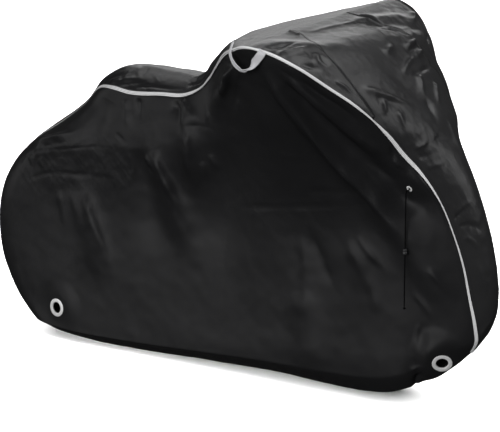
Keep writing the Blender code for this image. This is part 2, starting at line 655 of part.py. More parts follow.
def main():
    """Build every piece."""
    clear_scene()
    cloth = make_material("coated_cloth", (0.012, 0.012, 0.013), 0.45)
    tape = make_material("reflective_tape", (0.75, 0.75, 0.75), 0.5)
    metal = make_material("ring_metal", (0.70, 0.70, 0.70), 0.3, 1.0)
    cord = make_material("cord", (0.01, 0.01, 0.01), 0.7)

    back = np.concatenate((REAR_STATIONS, TOP_STATIONS[1:]))
    back[-1] -= BUTT_GAP
    across = np.linspace(-1, 1, STRIP_COLUMNS + 1)[None, :].repeat(len(back), 0)
    top_strip = strip_surface(back, across)

    front = FRONT_STATIONS[::-1].copy()
    front[0] += BUTT_GAP
    wedge_rows = int(np.sum(front <= SEAM_KEYS[WEDGE_END]))
    in_wedge = np.arange(len(front)) < wedge_rows
    limit = np.where(in_wedge, wedge_line(front), 1.0)[:, None]
    shield = strip_surface(front, np.linspace(-1, 1, SHIELD_COLUMNS + 1)[None, :] * limit)
    share = np.linspace(0, 1, WEDGE_COLUMNS + 1)[None, :]
    wedges = {
        side: strip_surface(front[:wedge_rows], side * (1 - share * (1 - limit[:wedge_rows])))
        for side in (-1.0, 1.0)
    }

    grid = set_back_edge(set_back_edge(top_strip, 1, False), 1, True)
    sheet_object("top_strip", grid, cloth, turned=True)
    cut = np.where(in_wedge, BUTT_GAP, SET_BACK)
    grid = set_back_edge(set_back_edge(shield, 1, False, cut), 1, True, cut)
    sheet_object("front_shield", grid, cloth, turned=True)

    for name, side in (("near", -1.0), ("far", 1.0)):
        wedge = wedges[side]
        grid = set_back_edge(wedge, 1, False)
        grid[:, -1] -= unit(grid[:, -1] - grid[:, -2]) * BUTT_GAP
        sheet_object("wedge_" + name, grid, cloth, turned=side < 0)

        patch = side_patch(side)
        spots = {}
        for place, (station, height, lean) in EYELETS[name].items():
            centre, _ = surface_at(patch, station, height, side)
            normal = unit(np.array(lean) * (1, side, 1))
            patch = flatten(patch, centre, normal, EYELET_FLAT)
            spots[f"eyelet_{name}_{place}"] = (centre, normal)
        if side < 0:
            centre, normal = surface_at(patch, *CORD_RING_PLACE, side)
            patch = flatten(patch, centre, normal, CORD_RING_FLAT)
            ring_spot = surface_at(side_grid(patch), *CORD_RING_PLACE, side)
            near_patch = patch
        panel = sheet_object("side_panel_" + name, side_grid(patch), cloth, turned=side > 0)
        for place, (centre, normal) in spots.items():
            sizes = (EYELET_RADIUS, EYELET_HOLE, EYELET_HOLE + 0.003, 0.0015)
            ring_object(place, centre, normal, sizes, metal, 20)
            cut_round_hole(panel, centre, normal, EYELET_HOLE + 0.003 + FIT_GAP, 20)
        if side < 0:
            centre, normal = ring_spot
            sizes = (CORD_RING_RADIUS, CORD_RING_HOLE, CORD_RING_HOLE + 0.0015, 0.0012)
            ring_object("cord_ring", centre, normal, sizes, metal, 16)
            cut_round_hole(panel, centre, normal, CORD_RING_HOLE + 0.0015 + FIT_GAP, 16)

        seam = np.concatenate((patch[:, 0], patch[-1, 1:], patch[::-1, -1][1:]))
        beside = np.concatenate(
            (patch[:-1, 1], patch[-2:-1, 1], patch[-2, 1:-1], patch[-2:-1, -2], patch[-2::-1, -2])
        )
        panel_in = unit(beside - seam)
        strip_in = np.concatenate(
            (
                taped_edge(top_strip, side)[:-1],
                unit(wedge[:, 1] - wedge[:, 0]),
                taped_edge(shield, side)[wedge_rows:],
            )
        )
        tape_object("tape_" + name, seam[:-1], panel_in[:-1], strip_in[:-1], side, tape)

    band_object("strap_loop", LOOP_ROWS, WEBBING, WEBBING_THICK, tape, 40)

    centre, normal = ring_spot
    start = centre - normal * CLOTH + (0, 0, -(CORD_RING_HOLE - CORD / 2 - FIT_GAP))
    station, height = CORD_RING_PLACE
    bulge = min(
        surface_at(near_patch, station, height - drop, -1.0)[0][1]
        for drop in np.linspace(0, CORD_DROP + 0.02, 40)
    )
    hang = np.array((start[0] + normal[0] * 0.015, bulge - CORD_CLEARANCE, start[2]))
    out = start + normal * 0.009
    route = [
        start,
        start + normal * 0.0045,
        out,
        (out * 0.35 + hang * 0.65) - (0, 0, 0.002),
        hang - (0, 0, 0.009),
        hang - (0, 0, 0.022),
        hang - (0, 0, 0.10),
        hang - (0, 0, 0.20),
        hang - (0, 0, 0.30),
        hang - (0, 0, CORD_DROP),
    ]
    cord_object("draw_cord", route, cord)
    lock_hole = CORD / 2 + FIT_GAP
    profile = (
        (lock_hole, -0.009),
        (lock_hole, 0.009),
        (0.0050, 0.009),
        (0.0068, 0.005),
        (0.0072, -0.006),
        (0.0058, -0.009),
    )
    turned_object("cord_lock", hang - (0, 0, LOCK_DROP), profile, cord, 12, True)
    knot_top = -FIT_GAP
    profile = (
        (0.0018, knot_top),
        (0.0048, knot_top - 0.0025),
        (0.0056, knot_top - 0.006),
        (0.0044, knot_top - 0.010),
        (0.0016, knot_top - 0.012),
    )
    turned_object("cord_knot", hang - (0, 0, CORD_DROP), profile, cord, 12, False)


if __name__ == "__main__":
    main()
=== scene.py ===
"""The looks of a fitted bicycle cover: draped coated cloth with its folds, ribbed
reflective tape on the seams, a webbing strap loop, pressed eyelets, stitched cord casings
and a hanging draw cord.

Metres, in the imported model's frame: +X to the front wheel, +Z up, the near side at -Y.
In the tables a station is measured forward from the near end of the bar and a height up
from the lowest hem.
"""

import logging
import math
from dataclasses import dataclass
from enum import Enum

import bpy
import numpy as np
from mathutils import Matrix, Vector, noise
from mathutils.bvhtree import BVHTree

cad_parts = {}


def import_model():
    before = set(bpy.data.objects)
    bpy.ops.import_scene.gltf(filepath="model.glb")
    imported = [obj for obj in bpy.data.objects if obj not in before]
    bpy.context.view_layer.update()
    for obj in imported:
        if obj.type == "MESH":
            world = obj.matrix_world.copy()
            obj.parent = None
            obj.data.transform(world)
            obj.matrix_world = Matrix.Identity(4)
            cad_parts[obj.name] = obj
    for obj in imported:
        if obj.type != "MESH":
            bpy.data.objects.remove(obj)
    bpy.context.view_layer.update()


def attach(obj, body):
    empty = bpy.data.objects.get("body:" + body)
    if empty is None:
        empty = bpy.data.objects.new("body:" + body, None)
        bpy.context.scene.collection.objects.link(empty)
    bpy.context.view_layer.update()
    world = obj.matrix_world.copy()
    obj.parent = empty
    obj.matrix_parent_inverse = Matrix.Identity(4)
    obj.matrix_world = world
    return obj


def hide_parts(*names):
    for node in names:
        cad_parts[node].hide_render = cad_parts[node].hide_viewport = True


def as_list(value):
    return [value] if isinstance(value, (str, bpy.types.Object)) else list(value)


LOG = logging.getLogger("cover")

SUPPORT_HEIGHT = 1.150  # handlebar support above the lowest hem
SUPPORT_STATION = 0.020  # and forward of the near end of the bar
CLOTH = 0.0015  # thickness of the coated cloth
CORD = 0.004  # diameter of the draw cord
NOISE_SEED = 1795534780  # fixes the offsets of noise_vector, else taken from the clock
FIT_GAP = 0.0004  # between a cord and what it runs through
EYELET_SIZE = (0.032, 0.019, 0.0020)  # radius over the flange, radius of the hole, roll
RING_SIZE = (0.0105, 0.0045, 0.0012)  # the same for the cord's ring

# The near seam, from the rear hem over the saddle and the bar to the front hem.
SEAM_ROWS = {
    # place: (station, half width, height, crown, square)
    "rear hem": (-1.110, 0.030, 0.030, 0.010, 2.0),
    "wheel low": (-1.228, 0.026, 0.130, 0.010, 2.0),
    "wheel back": (-1.296, 0.024, 0.245, 0.010, 2.0),
    "wheel axle": (-1.312, 0.022, 0.355, 0.010, 2.0),
    "wheel high": (-1.288, 0.022, 0.478, 0.010, 2.0),
    "wheel top": (-1.224, 0.022, 0.578, 0.010, 2.0),
    "mudguard": (-1.134, 0.024, 0.654, 0.012, 2.0),
    "tail slope": (-1.022, 0.028, 0.722, 0.014, 2.0),
    "saddle tail": (-0.900, 0.040, 0.804, 0.020, 2.0),
    "saddle back": (-0.812, 0.078, 0.870, 0.038, 2.3),
    "saddle rear": (-0.735, 0.110, 0.880, 0.064, 2.5),
    "saddle": (-0.657, 0.120, 0.873, 0.076, 2.5),
    "saddle mid": (-0.532, 0.120, 0.880, 0.067, 2.5),
    "saddle nose": (-0.422, 0.120, 0.889, 0.059, 2.5),
    "dip": (-0.365, 0.122, 0.915, 0.056, 2.2),
    "neck low": (-0.325, 0.132, 0.950, 0.068, 2.2),
    "neck": (-0.268, 0.175, 0.997, 0.070, 2.5),
    "stem": (-0.170, 0.272, 1.058, 0.052, 3.6),
    "bar rear": (-0.085, 0.350, 1.091, 0.018, 7.0),
    "bar end": (0.003, 0.398, 1.115, 0.006, 7.0),
    "bar front": (0.078, 0.402, 1.108, 0.008, 5.0),
    "brow": (0.184, 0.385, 1.068, 0.042, 4.0),
    "shield high": (0.268, 0.330, 1.003, 0.048, 3.2),
    "shield": (0.322, 0.290, 0.958, 0.042, 3.0),
    "shield mid": (0.362, 0.245, 0.908, 0.048, 2.6),
    "pinch": (0.398, 0.203, 0.852, 0.060, 2.4),
    "shield low": (0.424, 0.167, 0.798, 0.068, 2.2),
    "throat": (0.459, 0.137, 0.748, 0.070, 2.0),
    "fender": (0.518, 0.102, 0.651, 0.068, 2.0),
    "front high": (0.560, 0.091, 0.555, 0.064, 2.0),
    "front upper": (0.592, 0.083, 0.458, 0.058, 2.0),
    "front axle": (0.613, 0.078, 0.360, 0.052, 2.0),
    "front lower": (0.634, 0.074, 0.262, 0.034, 2.0),
    "front low": (0.636, 0.070, 0.225, 0.022, 2.0),
    "front hem": (0.615, 0.062, 0.180, 0.014, 2.0),
}
REAR_CORNER = "saddle back"
BAR_CORNER = "bar end"
WEDGE_END = "shield mid"

# The far seam mirrors the near one, moved by this much: the bar is turned a little.
FAR_ROWS = {
    # place: (forward, outward, up)
    "saddle nose": (0.000, 0.000, 0.000),
    "stem": (0.015, 0.010, 0.025),
    "bar rear": (0.028, 0.018, 0.055),
    "bar end": (0.036, 0.014, 0.063),
    "bar front": (0.030, 0.002, 0.046),
    "brow": (0.006, -0.022, 0.018),
    "shield high": (0.000, -0.038, 0.000),
    "shield": (0.000, -0.038, 0.000),
    "shield mid": (0.000, -0.025, 0.000),
    "pinch": (0.000, -0.004, 0.000),
    "front axle": (0.000, 0.000, 0.000),
    "front hem": (-0.025, -0.020, 0.050),
}

# How much lower the far hem hangs near the front: depth, share of the hem where it starts,
# the share over which it grows and the share over which it ends.
FAR_HEM_SAG = (0.030, 0.70, 0.12, 0.08)

# The lower edge of a side panel, tucked under, from the rear hem to the front hem.
HEM_ROWS = (
    # station, half width, height
    (-1.110, 0.030, 0.030),
    (-1.040, 0.070, 0.000),
    (-0.960, 0.080, -0.012),
    (-0.880, 0.080, -0.018),
    (-0.655, 0.072, -0.020),
    (-0.375, 0.070, -0.010),
    (-0.105, 0.072, -0.002),
    (0.090, 0.080, -0.002),
    (0.265, 0.095, 0.004),
    (0.350, 0.098, 0.018),
    (0.432, 0.085, 0.050),
    (0.475, 0.075, 0.074),
    (0.530, 0.066, 0.112),
    (0.580, 0.062, 0.148),
    (0.615, 0.062, 0.180),
)

# The seams between the shield and its wedges: where each crosses the strip.
WEDGE_ROWS = {
    # side: (share of the way from the bar to the wedge's tip, place across; 1 is the seam)
    "near": (
        (0.0, 0.42), (0.10, 0.44), (0.20, 0.52), (0.32, 0.63), (0.50, 0.715), (0.68, 0.78),
        (0.85, 0.87), (1.0, 0.955),
    ),
    "far": (
        (0.0, 0.31), (0.20, 0.36), (0.34, 0.42), (0.50, 0.55), (0.70, 0.72), (0.85, 0.85),
        (1.0, 0.955),
    ),
}

# How much of the tape's width shows along the seam, where it rolls under the edge.
TAPE_ROWS = {
    # place: share
    "saddle mid": 0.95,
    "saddle nose": 1.10,
    "neck": 1.05,
    "bar end": 0.88,
    "brow": 0.62,
    "shield high": 0.57,
    "shield": 0.54,
    "shield mid": 0.26,
    "pinch": 0.86,
    "shield low": 0.95,
    "throat": 0.88,
    "fender": 0.28,
    "front high": 0.28,
    "front upper": 0.42,
    "front axle": 0.58,
    "front low": 0.84,
}

# The deep folds that the solids have too, each along a curve from its start past its bend
# to its end, by station and height. Rise is negative where the cloth sinks in.
NEAR_DRAPES = {
    # name: (start station, height, bend station, height, end station, height,
    #        start width, end width, rise)
    "bar ridge": (0.064, 1.050, 0.145, 0.780, 0.545, 0.430, 0.028, 0.060, 0.027),
    "ridge hollow": (0.110, 1.010, 0.220, 0.820, 0.520, 0.540, 0.030, 0.050, -0.024),
    "second ridge": (0.140, 1.020, 0.240, 0.930, 0.370, 0.760, 0.028, 0.036, 0.014),
    "under tape": (0.170, 1.030, 0.270, 0.960, 0.350, 0.860, 0.026, 0.030, -0.010),
    "neck fold": (-0.110, 1.030, -0.230, 0.940, -0.300, 0.840, 0.034, 0.040, 0.016),
    "saddle drop": (-0.420, 0.850, -0.395, 0.740, -0.394, 0.540, 0.034, 0.044, 0.013),
    "middle fold": (-0.555, 0.690, -0.510, 0.540, -0.400, 0.300, 0.036, 0.060, 0.014),
    "middle hollow": (-0.620, 0.690, -0.600, 0.500, -0.540, 0.320, 0.040, 0.060, -0.012),
    "rear fold": (-0.862, 0.510, -0.850, 0.400, -0.770, 0.180, 0.036, 0.064, 0.012),
    "tail hollow": (-0.760, 0.840, -0.800, 0.650, -0.930, 0.420, 0.040, 0.070, -0.012),
    "tail highlight": (-1.080, 0.620, -0.990, 0.670, -0.860, 0.710, 0.030, 0.036, 0.011),
    "low ridge": (0.330, 0.600, 0.440, 0.480, 0.580, 0.300, 0.034, 0.050, 0.011),
    "long drape": (0.020, 0.980, -0.060, 0.620, -0.180, 0.260, 0.060, 0.110, 0.012),
    "mid drape": (-0.150, 0.900, -0.260, 0.620, -0.330, 0.300, 0.050, 0.090, -0.012),
    "front pinch": (0.470, 0.240, 0.455, 0.150, 0.440, 0.040, 0.020, 0.026, -0.014),
    "hem wave": (0.020, 0.300, 0.060, 0.160, 0.090, 0.010, 0.050, 0.080, 0.010),
}
FAR_DRAPES = {
    "bar ridge": (0.070, 1.080, 0.160, 0.740, 0.540, 0.360, 0.024, 0.070, 0.022),
    "ridge hollow": (0.110, 1.060, 0.260, 0.800, 0.580, 0.500, 0.024, 0.050, -0.015),
    "neck fold": (-0.140, 1.010, -0.260, 0.850, -0.310, 0.640, 0.026, 0.050, 0.013),
    "saddle drop": (-0.500, 0.860, -0.520, 0.700, -0.480, 0.460, 0.030, 0.050, 0.012),
    "middle fold": (-0.640, 0.720, -0.700, 0.520, -0.760, 0.260, 0.030, 0.060, 0.014),
    "rear hollow": (-0.820, 0.780, -0.900, 0.560, -0.960, 0.300, 0.040, 0.070, -0.013),
    "long drape": (0.000, 0.960, -0.040, 0.560, -0.100, 0.220, 0.070, 0.110, 0.013),
    "mid drape": (-0.230, 0.800, -0.260, 0.520, -0.280, 0.240, 0.060, 0.090, -0.012),
    "low ridge": (0.300, 0.520, 0.420, 0.360, 0.520, 0.180, 0.040, 0.060, 0.011),
}
# On the strip and shield: by distance along the seam from the bar, and across.
STRIP_DRAPES = {
    "far corner": (0.060, 0.080, 0.090, 0.200, 0.140, 0.360, 0.018, 0.026, 0.0066),
    "far crease": (0.120, 0.100, 0.150, 0.200, 0.200, 0.330, 0.020, 0.026, -0.0055),
    "far drop": (0.200, 0.200, 0.320, 0.120, 0.480, 0.070, 0.030, 0.040, 0.0040),
    "near hollow": (0.330, -0.060, 0.420, 0.000, 0.540, 0.010, 0.030, 0.040, -0.0030),
    "throat crumple": (0.600, -0.060, 0.640, -0.020, 0.660, 0.040, 0.022, 0.026, -0.0050),
    "wedge bulge": (0.040, -0.330, 0.110, -0.250, 0.200, -0.230, 0.030, 0.036, 0.0066),
    "neck crease": (-0.330, -0.060, -0.250, -0.110, -0.160, -0.200, 0.026, 0.036, -0.0066),
    "seat sag": (-0.760, 0.020, -0.640, -0.010, -0.500, 0.010, 0.040, 0.040, -0.0033),
}

# The finer creases of the near panel, by station and height.
NEAR_CREASES = {
    # name: (points along it, start width, end width, rise, lean to its left)
    "ridge crest": (
        ((0.071, 1.064), (0.096, 0.988), (0.134, 0.912), (0.166, 0.843), (0.218, 0.745),
         (0.268, 0.690), (0.310, 0.640), (0.380, 0.565), (0.461, 0.508), (0.542, 0.455)),
        0.010, 0.022, 0.0078, -0.3,
    ),
    "hollow line": (
        ((0.088, 1.071), (0.133, 0.971), (0.179, 0.889), (0.230, 0.814), (0.293, 0.755),
         (0.408, 0.687), (0.472, 0.626), (0.548, 0.536)),
        0.012, 0.022, -0.0067, 0.3,
    ),
    "second crest": (
        ((0.148, 1.048), (0.187, 0.998), (0.245, 0.937), (0.305, 0.880), (0.360, 0.821)),
        0.011, 0.018, 0.0056, 0.0,
    ),
    "tape trough": (
        ((0.102, 1.070), (0.165, 1.026), (0.221, 0.982), (0.287, 0.936), (0.340, 0.890)),
        0.012, 0.012, -0.0067, 0.0,
    ),
    "facet": (((0.310, 0.862), (0.346, 0.828), (0.375, 0.785)), 0.014, 0.020, 0.008, 0.5),
    "pinch slit": (((0.400, 0.826), (0.398, 0.806), (0.386, 0.776)), 0.006, 0.007, -0.010, 0.0),
    "pinch flap": (((0.392, 0.772), (0.413, 0.762), (0.431, 0.744)), 0.009, 0.008, 0.006, 0.0),
    "beside tape": (
        ((0.435, 0.752), (0.480, 0.690), (0.510, 0.640), (0.538, 0.580), (0.556, 0.520)),
        0.012, 0.012, 0.0056, 0.4,
    ),
    "low one": (((0.235, 0.508), (0.302, 0.448), (0.360, 0.402)), 0.010, 0.016, 0.005, -0.4),
    "low two": (((0.480, 0.444), (0.546, 0.385), (0.594, 0.346)), 0.010, 0.014, 0.005, -0.4),
    "low three": (((0.430, 0.355), (0.470, 0.321), (0.505, 0.276)), 0.009, 0.013, 0.005, -0.3),
    "under cord": (((0.459, 0.262), (0.444, 0.205), (0.457, 0.137)), 0.008, 0.010, 0.004, -0.3),
    "soft dark": (((0.050, 0.500), (0.106, 0.407), (0.175, 0.280)), 0.020, 0.036, -0.006, 0.3),
    "soft light": (((0.026, 0.500), (0.041, 0.337), (0.050, 0.160)), 0.026, 0.040, 0.005, -0.3),
    "soft drop": (((0.180, 0.530), (0.276, 0.373), (0.370, 0.180)), 0.024, 0.046, 0.006, -0.2),
    "eyelet tuck": (((0.424, 0.036), (0.452, 0.084), (0.492, 0.112)), 0.007, 0.006, -0.011, 0.0),
    "crescent": (((0.430, 0.098), (0.456, 0.121), (0.488, 0.124)), 0.008, 0.007, 0.007, -0.4),
    "faint line": (((-0.015, 0.756), (0.043, 0.752), (0.112, 0.753)), 0.007, 0.007, 0.0015, 0.0),
    "tail crest": (
        ((-1.090, 0.654), (-0.975, 0.688), (-0.921, 0.707), (-0.862, 0.728)),
        0.010, 0.009, 0.0101, 0.3,
    ),
    "tail shade": (((-1.060, 0.640), (-0.960, 0.668), (-0.860, 0.700)), 0.012, 0.014, -0.004, 0.0),
    "crumple one": (((-1.096, 0.612), (-1.090, 0.590), (-1.083, 0.566)), 0.006, 0.006, 0.004, -0.3),
    "crumple two": (((-1.046, 0.612), (-1.040, 0.590), (-1.028, 0.570)), 0.007, 0.006, 0.004, -0.3),
    "rear drop one": (
        ((-0.972, 0.510), (-0.957, 0.436), (-0.938, 0.340)), 0.014, 0.022, 0.0035, -0.2,
    ),
    "rear drop two": (
        ((-0.910, 0.510), (-0.900, 0.443), (-0.886, 0.360)), 0.014, 0.022, 0.0035, -0.2,
    ),
    "rear crest": (
        ((-0.850, 0.500), (-0.832, 0.435), (-0.800, 0.371), (-0.770, 0.310), (-0.745, 0.250)),
        0.014, 0.034, 0.0101, 0.3,
    ),
    "rear shade": (((-0.872, 0.500), (-0.866, 0.430), (-0.850, 0.350)), 0.014, 0.024, -0.003, 0.0),
    "middle crest": (
        ((-0.552, 0.700), (-0.524, 0.628), (-0.486, 0.548), (-0.441, 0.479), (-0.405, 0.415)),
        0.015, 0.026, 0.0123, -0.3,
    ),
    "middle shade": (
        ((-0.530, 0.690), (-0.488, 0.610), (-0.440, 0.530)), 0.016, 0.024, -0.003, 0.0,
    ),
    "middle nick": (((-0.592, 0.668), (-0.568, 0.648), (-0.550, 0.622)), 0.006, 0.006, 0.005, 0.0),
    "middle nick two": (
        ((-0.580, 0.640), (-0.566, 0.618), (-0.556, 0.590)), 0.006, 0.006, -0.004, 0.0,
    ),
    "saddle one": (((-0.678, 0.856), (-0.666, 0.792), (-0.645, 0.746)), 0.014, 0.016, 0.007, -0.3),
    "saddle two": (((-0.620, 0.862), (-0.610, 0.820), (-0.600, 0.770)), 0.010, 0.012, -0.005, 0.0),
    "saddle three": (((-0.436, 0.880), (-0.398, 0.842), (-0.354, 0.802)), 0.012, 0.018, 0.01, 0.3),
    "saddle three shade": (
        ((-0.470, 0.872), (-0.440, 0.820), (-0.420, 0.740)), 0.014, 0.020, -0.007, 0.0,
    ),
    "saddle four": (((-0.327, 0.884), (-0.314, 0.845), (-0.315, 0.800)), 0.005, 0.006, 0.003, 0.0),
    "cross nick": (((-0.416, 0.791), (-0.352, 0.799), (-0.268, 0.789)), 0.005, 0.005, -0.0015, 0.0),
    "broad drop": (
        ((-0.393, 0.784), (-0.404, 0.690), (-0.402, 0.632), (-0.388, 0.560)),
        0.020, 0.024, 0.009, -0.3,
    ),
    "drop two": (((-0.357, 0.682), (-0.352, 0.644), (-0.348, 0.600)), 0.008, 0.010, 0.005, -0.2),
    "drop three": (((-0.326, 0.706), (-0.307, 0.671), (-0.290, 0.648)), 0.008, 0.010, 0.005, -0.2),
    "neck crest": (
        ((-0.105, 1.043), (-0.130, 1.015), (-0.165, 0.970), (-0.205, 0.925), (-0.240, 0.870)),
        0.010, 0.030, 0.0224, 0.5,
    ),
    "neck shade": (
        ((-0.080, 1.020), (-0.120, 0.965), (-0.165, 0.905), (-0.200, 0.840)),
        0.012, 0.016, -0.0056, 0.0,
    ),
    "slant nick": (((-0.710, 0.737), (-0.686, 0.718), (-0.660, 0.697)), 0.005, 0.005, -0.004, 0.0),
    "casing top": (
        ((0.040, 0.632), (0.130, 0.645), (0.214, 0.656), (0.319, 0.686), (0.408, 0.699)),
        0.005, 0.005, -0.0025, 0.0,
    ),
    "casing low": (
        ((-0.262, 0.531), (-0.057, 0.569), (0.102, 0.591), (0.232, 0.613), (0.330, 0.640),
         (0.400, 0.665)),
        0.005, 0.005, -0.0025, 0.0,
    ),
    "rear casing top": (
        ((-1.150, 0.590), (-1.040, 0.634), (-0.922, 0.655), (-0.766, 0.676), (-0.668, 0.672)),
        0.005, 0.005, -0.0025, 0.0,
    ),
    "rear casing low": (
        ((-1.130, 0.516), (-0.989, 0.563), (-0.893, 0.566), (-0.719, 0.575), (-0.664, 0.581)),
        0.005, 0.005, -0.0025, 0.0,
    ),
    "rear casing end": (
        ((-0.660, 0.676), (-0.646, 0.625), (-0.662, 0.566)), 0.007, 0.007, 0.004, 0.0,
    ),
}
FAR_CREASES = {
    "ridge crest": (
        ((0.080, 1.080), (0.120, 0.930), (0.190, 0.760), (0.330, 0.570), (0.520, 0.390)),
        0.012, 0.028, 0.007, 0.3,
    ),
    "neck crest": (((-0.120, 1.050), (-0.190, 0.970), (-0.270, 0.870)), 0.008, 0.022, 0.009, 0.2),
    "saddle one": (((-0.600, 0.860), (-0.590, 0.780), (-0.560, 0.700)), 0.010, 0.016, 0.006, 0.2),
    "saddle two": (((-0.470, 0.860), (-0.430, 0.780), (-0.420, 0.660)), 0.010, 0.020, 0.007, 0.2),
    "middle crest": (((-0.660, 0.690), (-0.715, 0.520), (-0.760, 0.330)), 0.010, 0.026, 0.008, 0.3),
    "rear crest": (((-0.900, 0.600), (-0.930, 0.480), (-0.945, 0.340)), 0.010, 0.022, 0.006, 0.2),
    "tail crest": (((-1.100, 0.640), (-1.000, 0.690), (-0.900, 0.730)), 0.010, 0.012, 0.005, 0.0),
    "low one": (((0.200, 0.560), (0.300, 0.440), (0.400, 0.300)), 0.012, 0.022, 0.006, 0.2),
    "long one": (((-0.020, 0.900), (-0.050, 0.640), (-0.090, 0.360)), 0.016, 0.034, 0.006, 0.2),
    "eyelet tuck": (((0.400, 0.060), (0.440, 0.120), (0.460, 0.170)), 0.008, 0.008, -0.008, 0.0),
}
# Those of the strip, the shield and its wedges, by station, side and height: points along
# the crease, start width, end width, rise and lean to its left.
STRIP_CREASES = {
    "seat rear": (
        ((-0.800, -0.060, 0.888), (-0.735, -0.070, 0.912), (-0.660, -0.060, 0.934)),
        0.010, 0.012, -0.005, 0.0,
    ),
    "seat rear two": (
        ((-0.770, -0.095, 0.878), (-0.700, -0.088, 0.904), (-0.620, -0.080, 0.920)),
        0.008, 0.010, 0.005, 0.0,
    ),
    "seat rear three": (
        ((-0.736, -0.108, 0.880), (-0.662, -0.098, 0.900), (-0.590, -0.094, 0.909)),
        0.006, 0.008, -0.005, 0.0,
    ),
    "seat edge": (
        ((-0.663, -0.112, 0.882), (-0.601, -0.104, 0.896), (-0.500, -0.106, 0.898),
         (-0.430, -0.104, 0.906)),
        0.006, 0.006, -0.005, 0.0,
    ),
    "seat crown": (
        ((-0.700, -0.020, 0.944), (-0.610, -0.030, 0.942), (-0.500, -0.040, 0.936)),
        0.020, 0.026, 0.003, 0.0,
    ),
    "dip crease": (
        ((-0.445, -0.092, 0.908), (-0.400, -0.087, 0.929), (-0.350, -0.088, 0.970)),
        0.008, 0.009, -0.007, 0.0,
    ),
    "dip crease two": (
        ((-0.410, -0.106, 0.908), (-0.355, -0.114, 0.937), (-0.300, -0.130, 0.985)),
        0.006, 0.007, 0.005, 0.0,
    ),
    "dip crease three": (
        ((-0.420, -0.060, 0.925), (-0.370, -0.050, 0.960), (-0.310, -0.050, 1.010)),
        0.010, 0.010, 0.005, 0.0,
    ),
    "neck line": (
        ((-0.250, -0.120, 1.040), (-0.160, -0.180, 1.085), (-0.060, -0.260, 1.112)),
        0.008, 0.010, -0.004, 0.0,
    ),
    "bar line": (
        ((-0.120, -0.230, 1.110), (-0.060, -0.250, 1.124), (0.000, -0.290, 1.128)),
        0.008, 0.008, 0.004, 0.0,
    ),
    "far neck": (
        ((-0.300, 0.090, 1.000), (-0.220, 0.170, 1.060), (-0.120, 0.260, 1.110)),
        0.010, 0.012, 0.006, 0.0,
    ),
    "back fold": (
        ((-1.120, 0.000, 0.676), (-1.010, 0.004, 0.744), (-0.900, -0.006, 0.824)),
        0.008, 0.010, 0.003, 0.0,
    ),
}
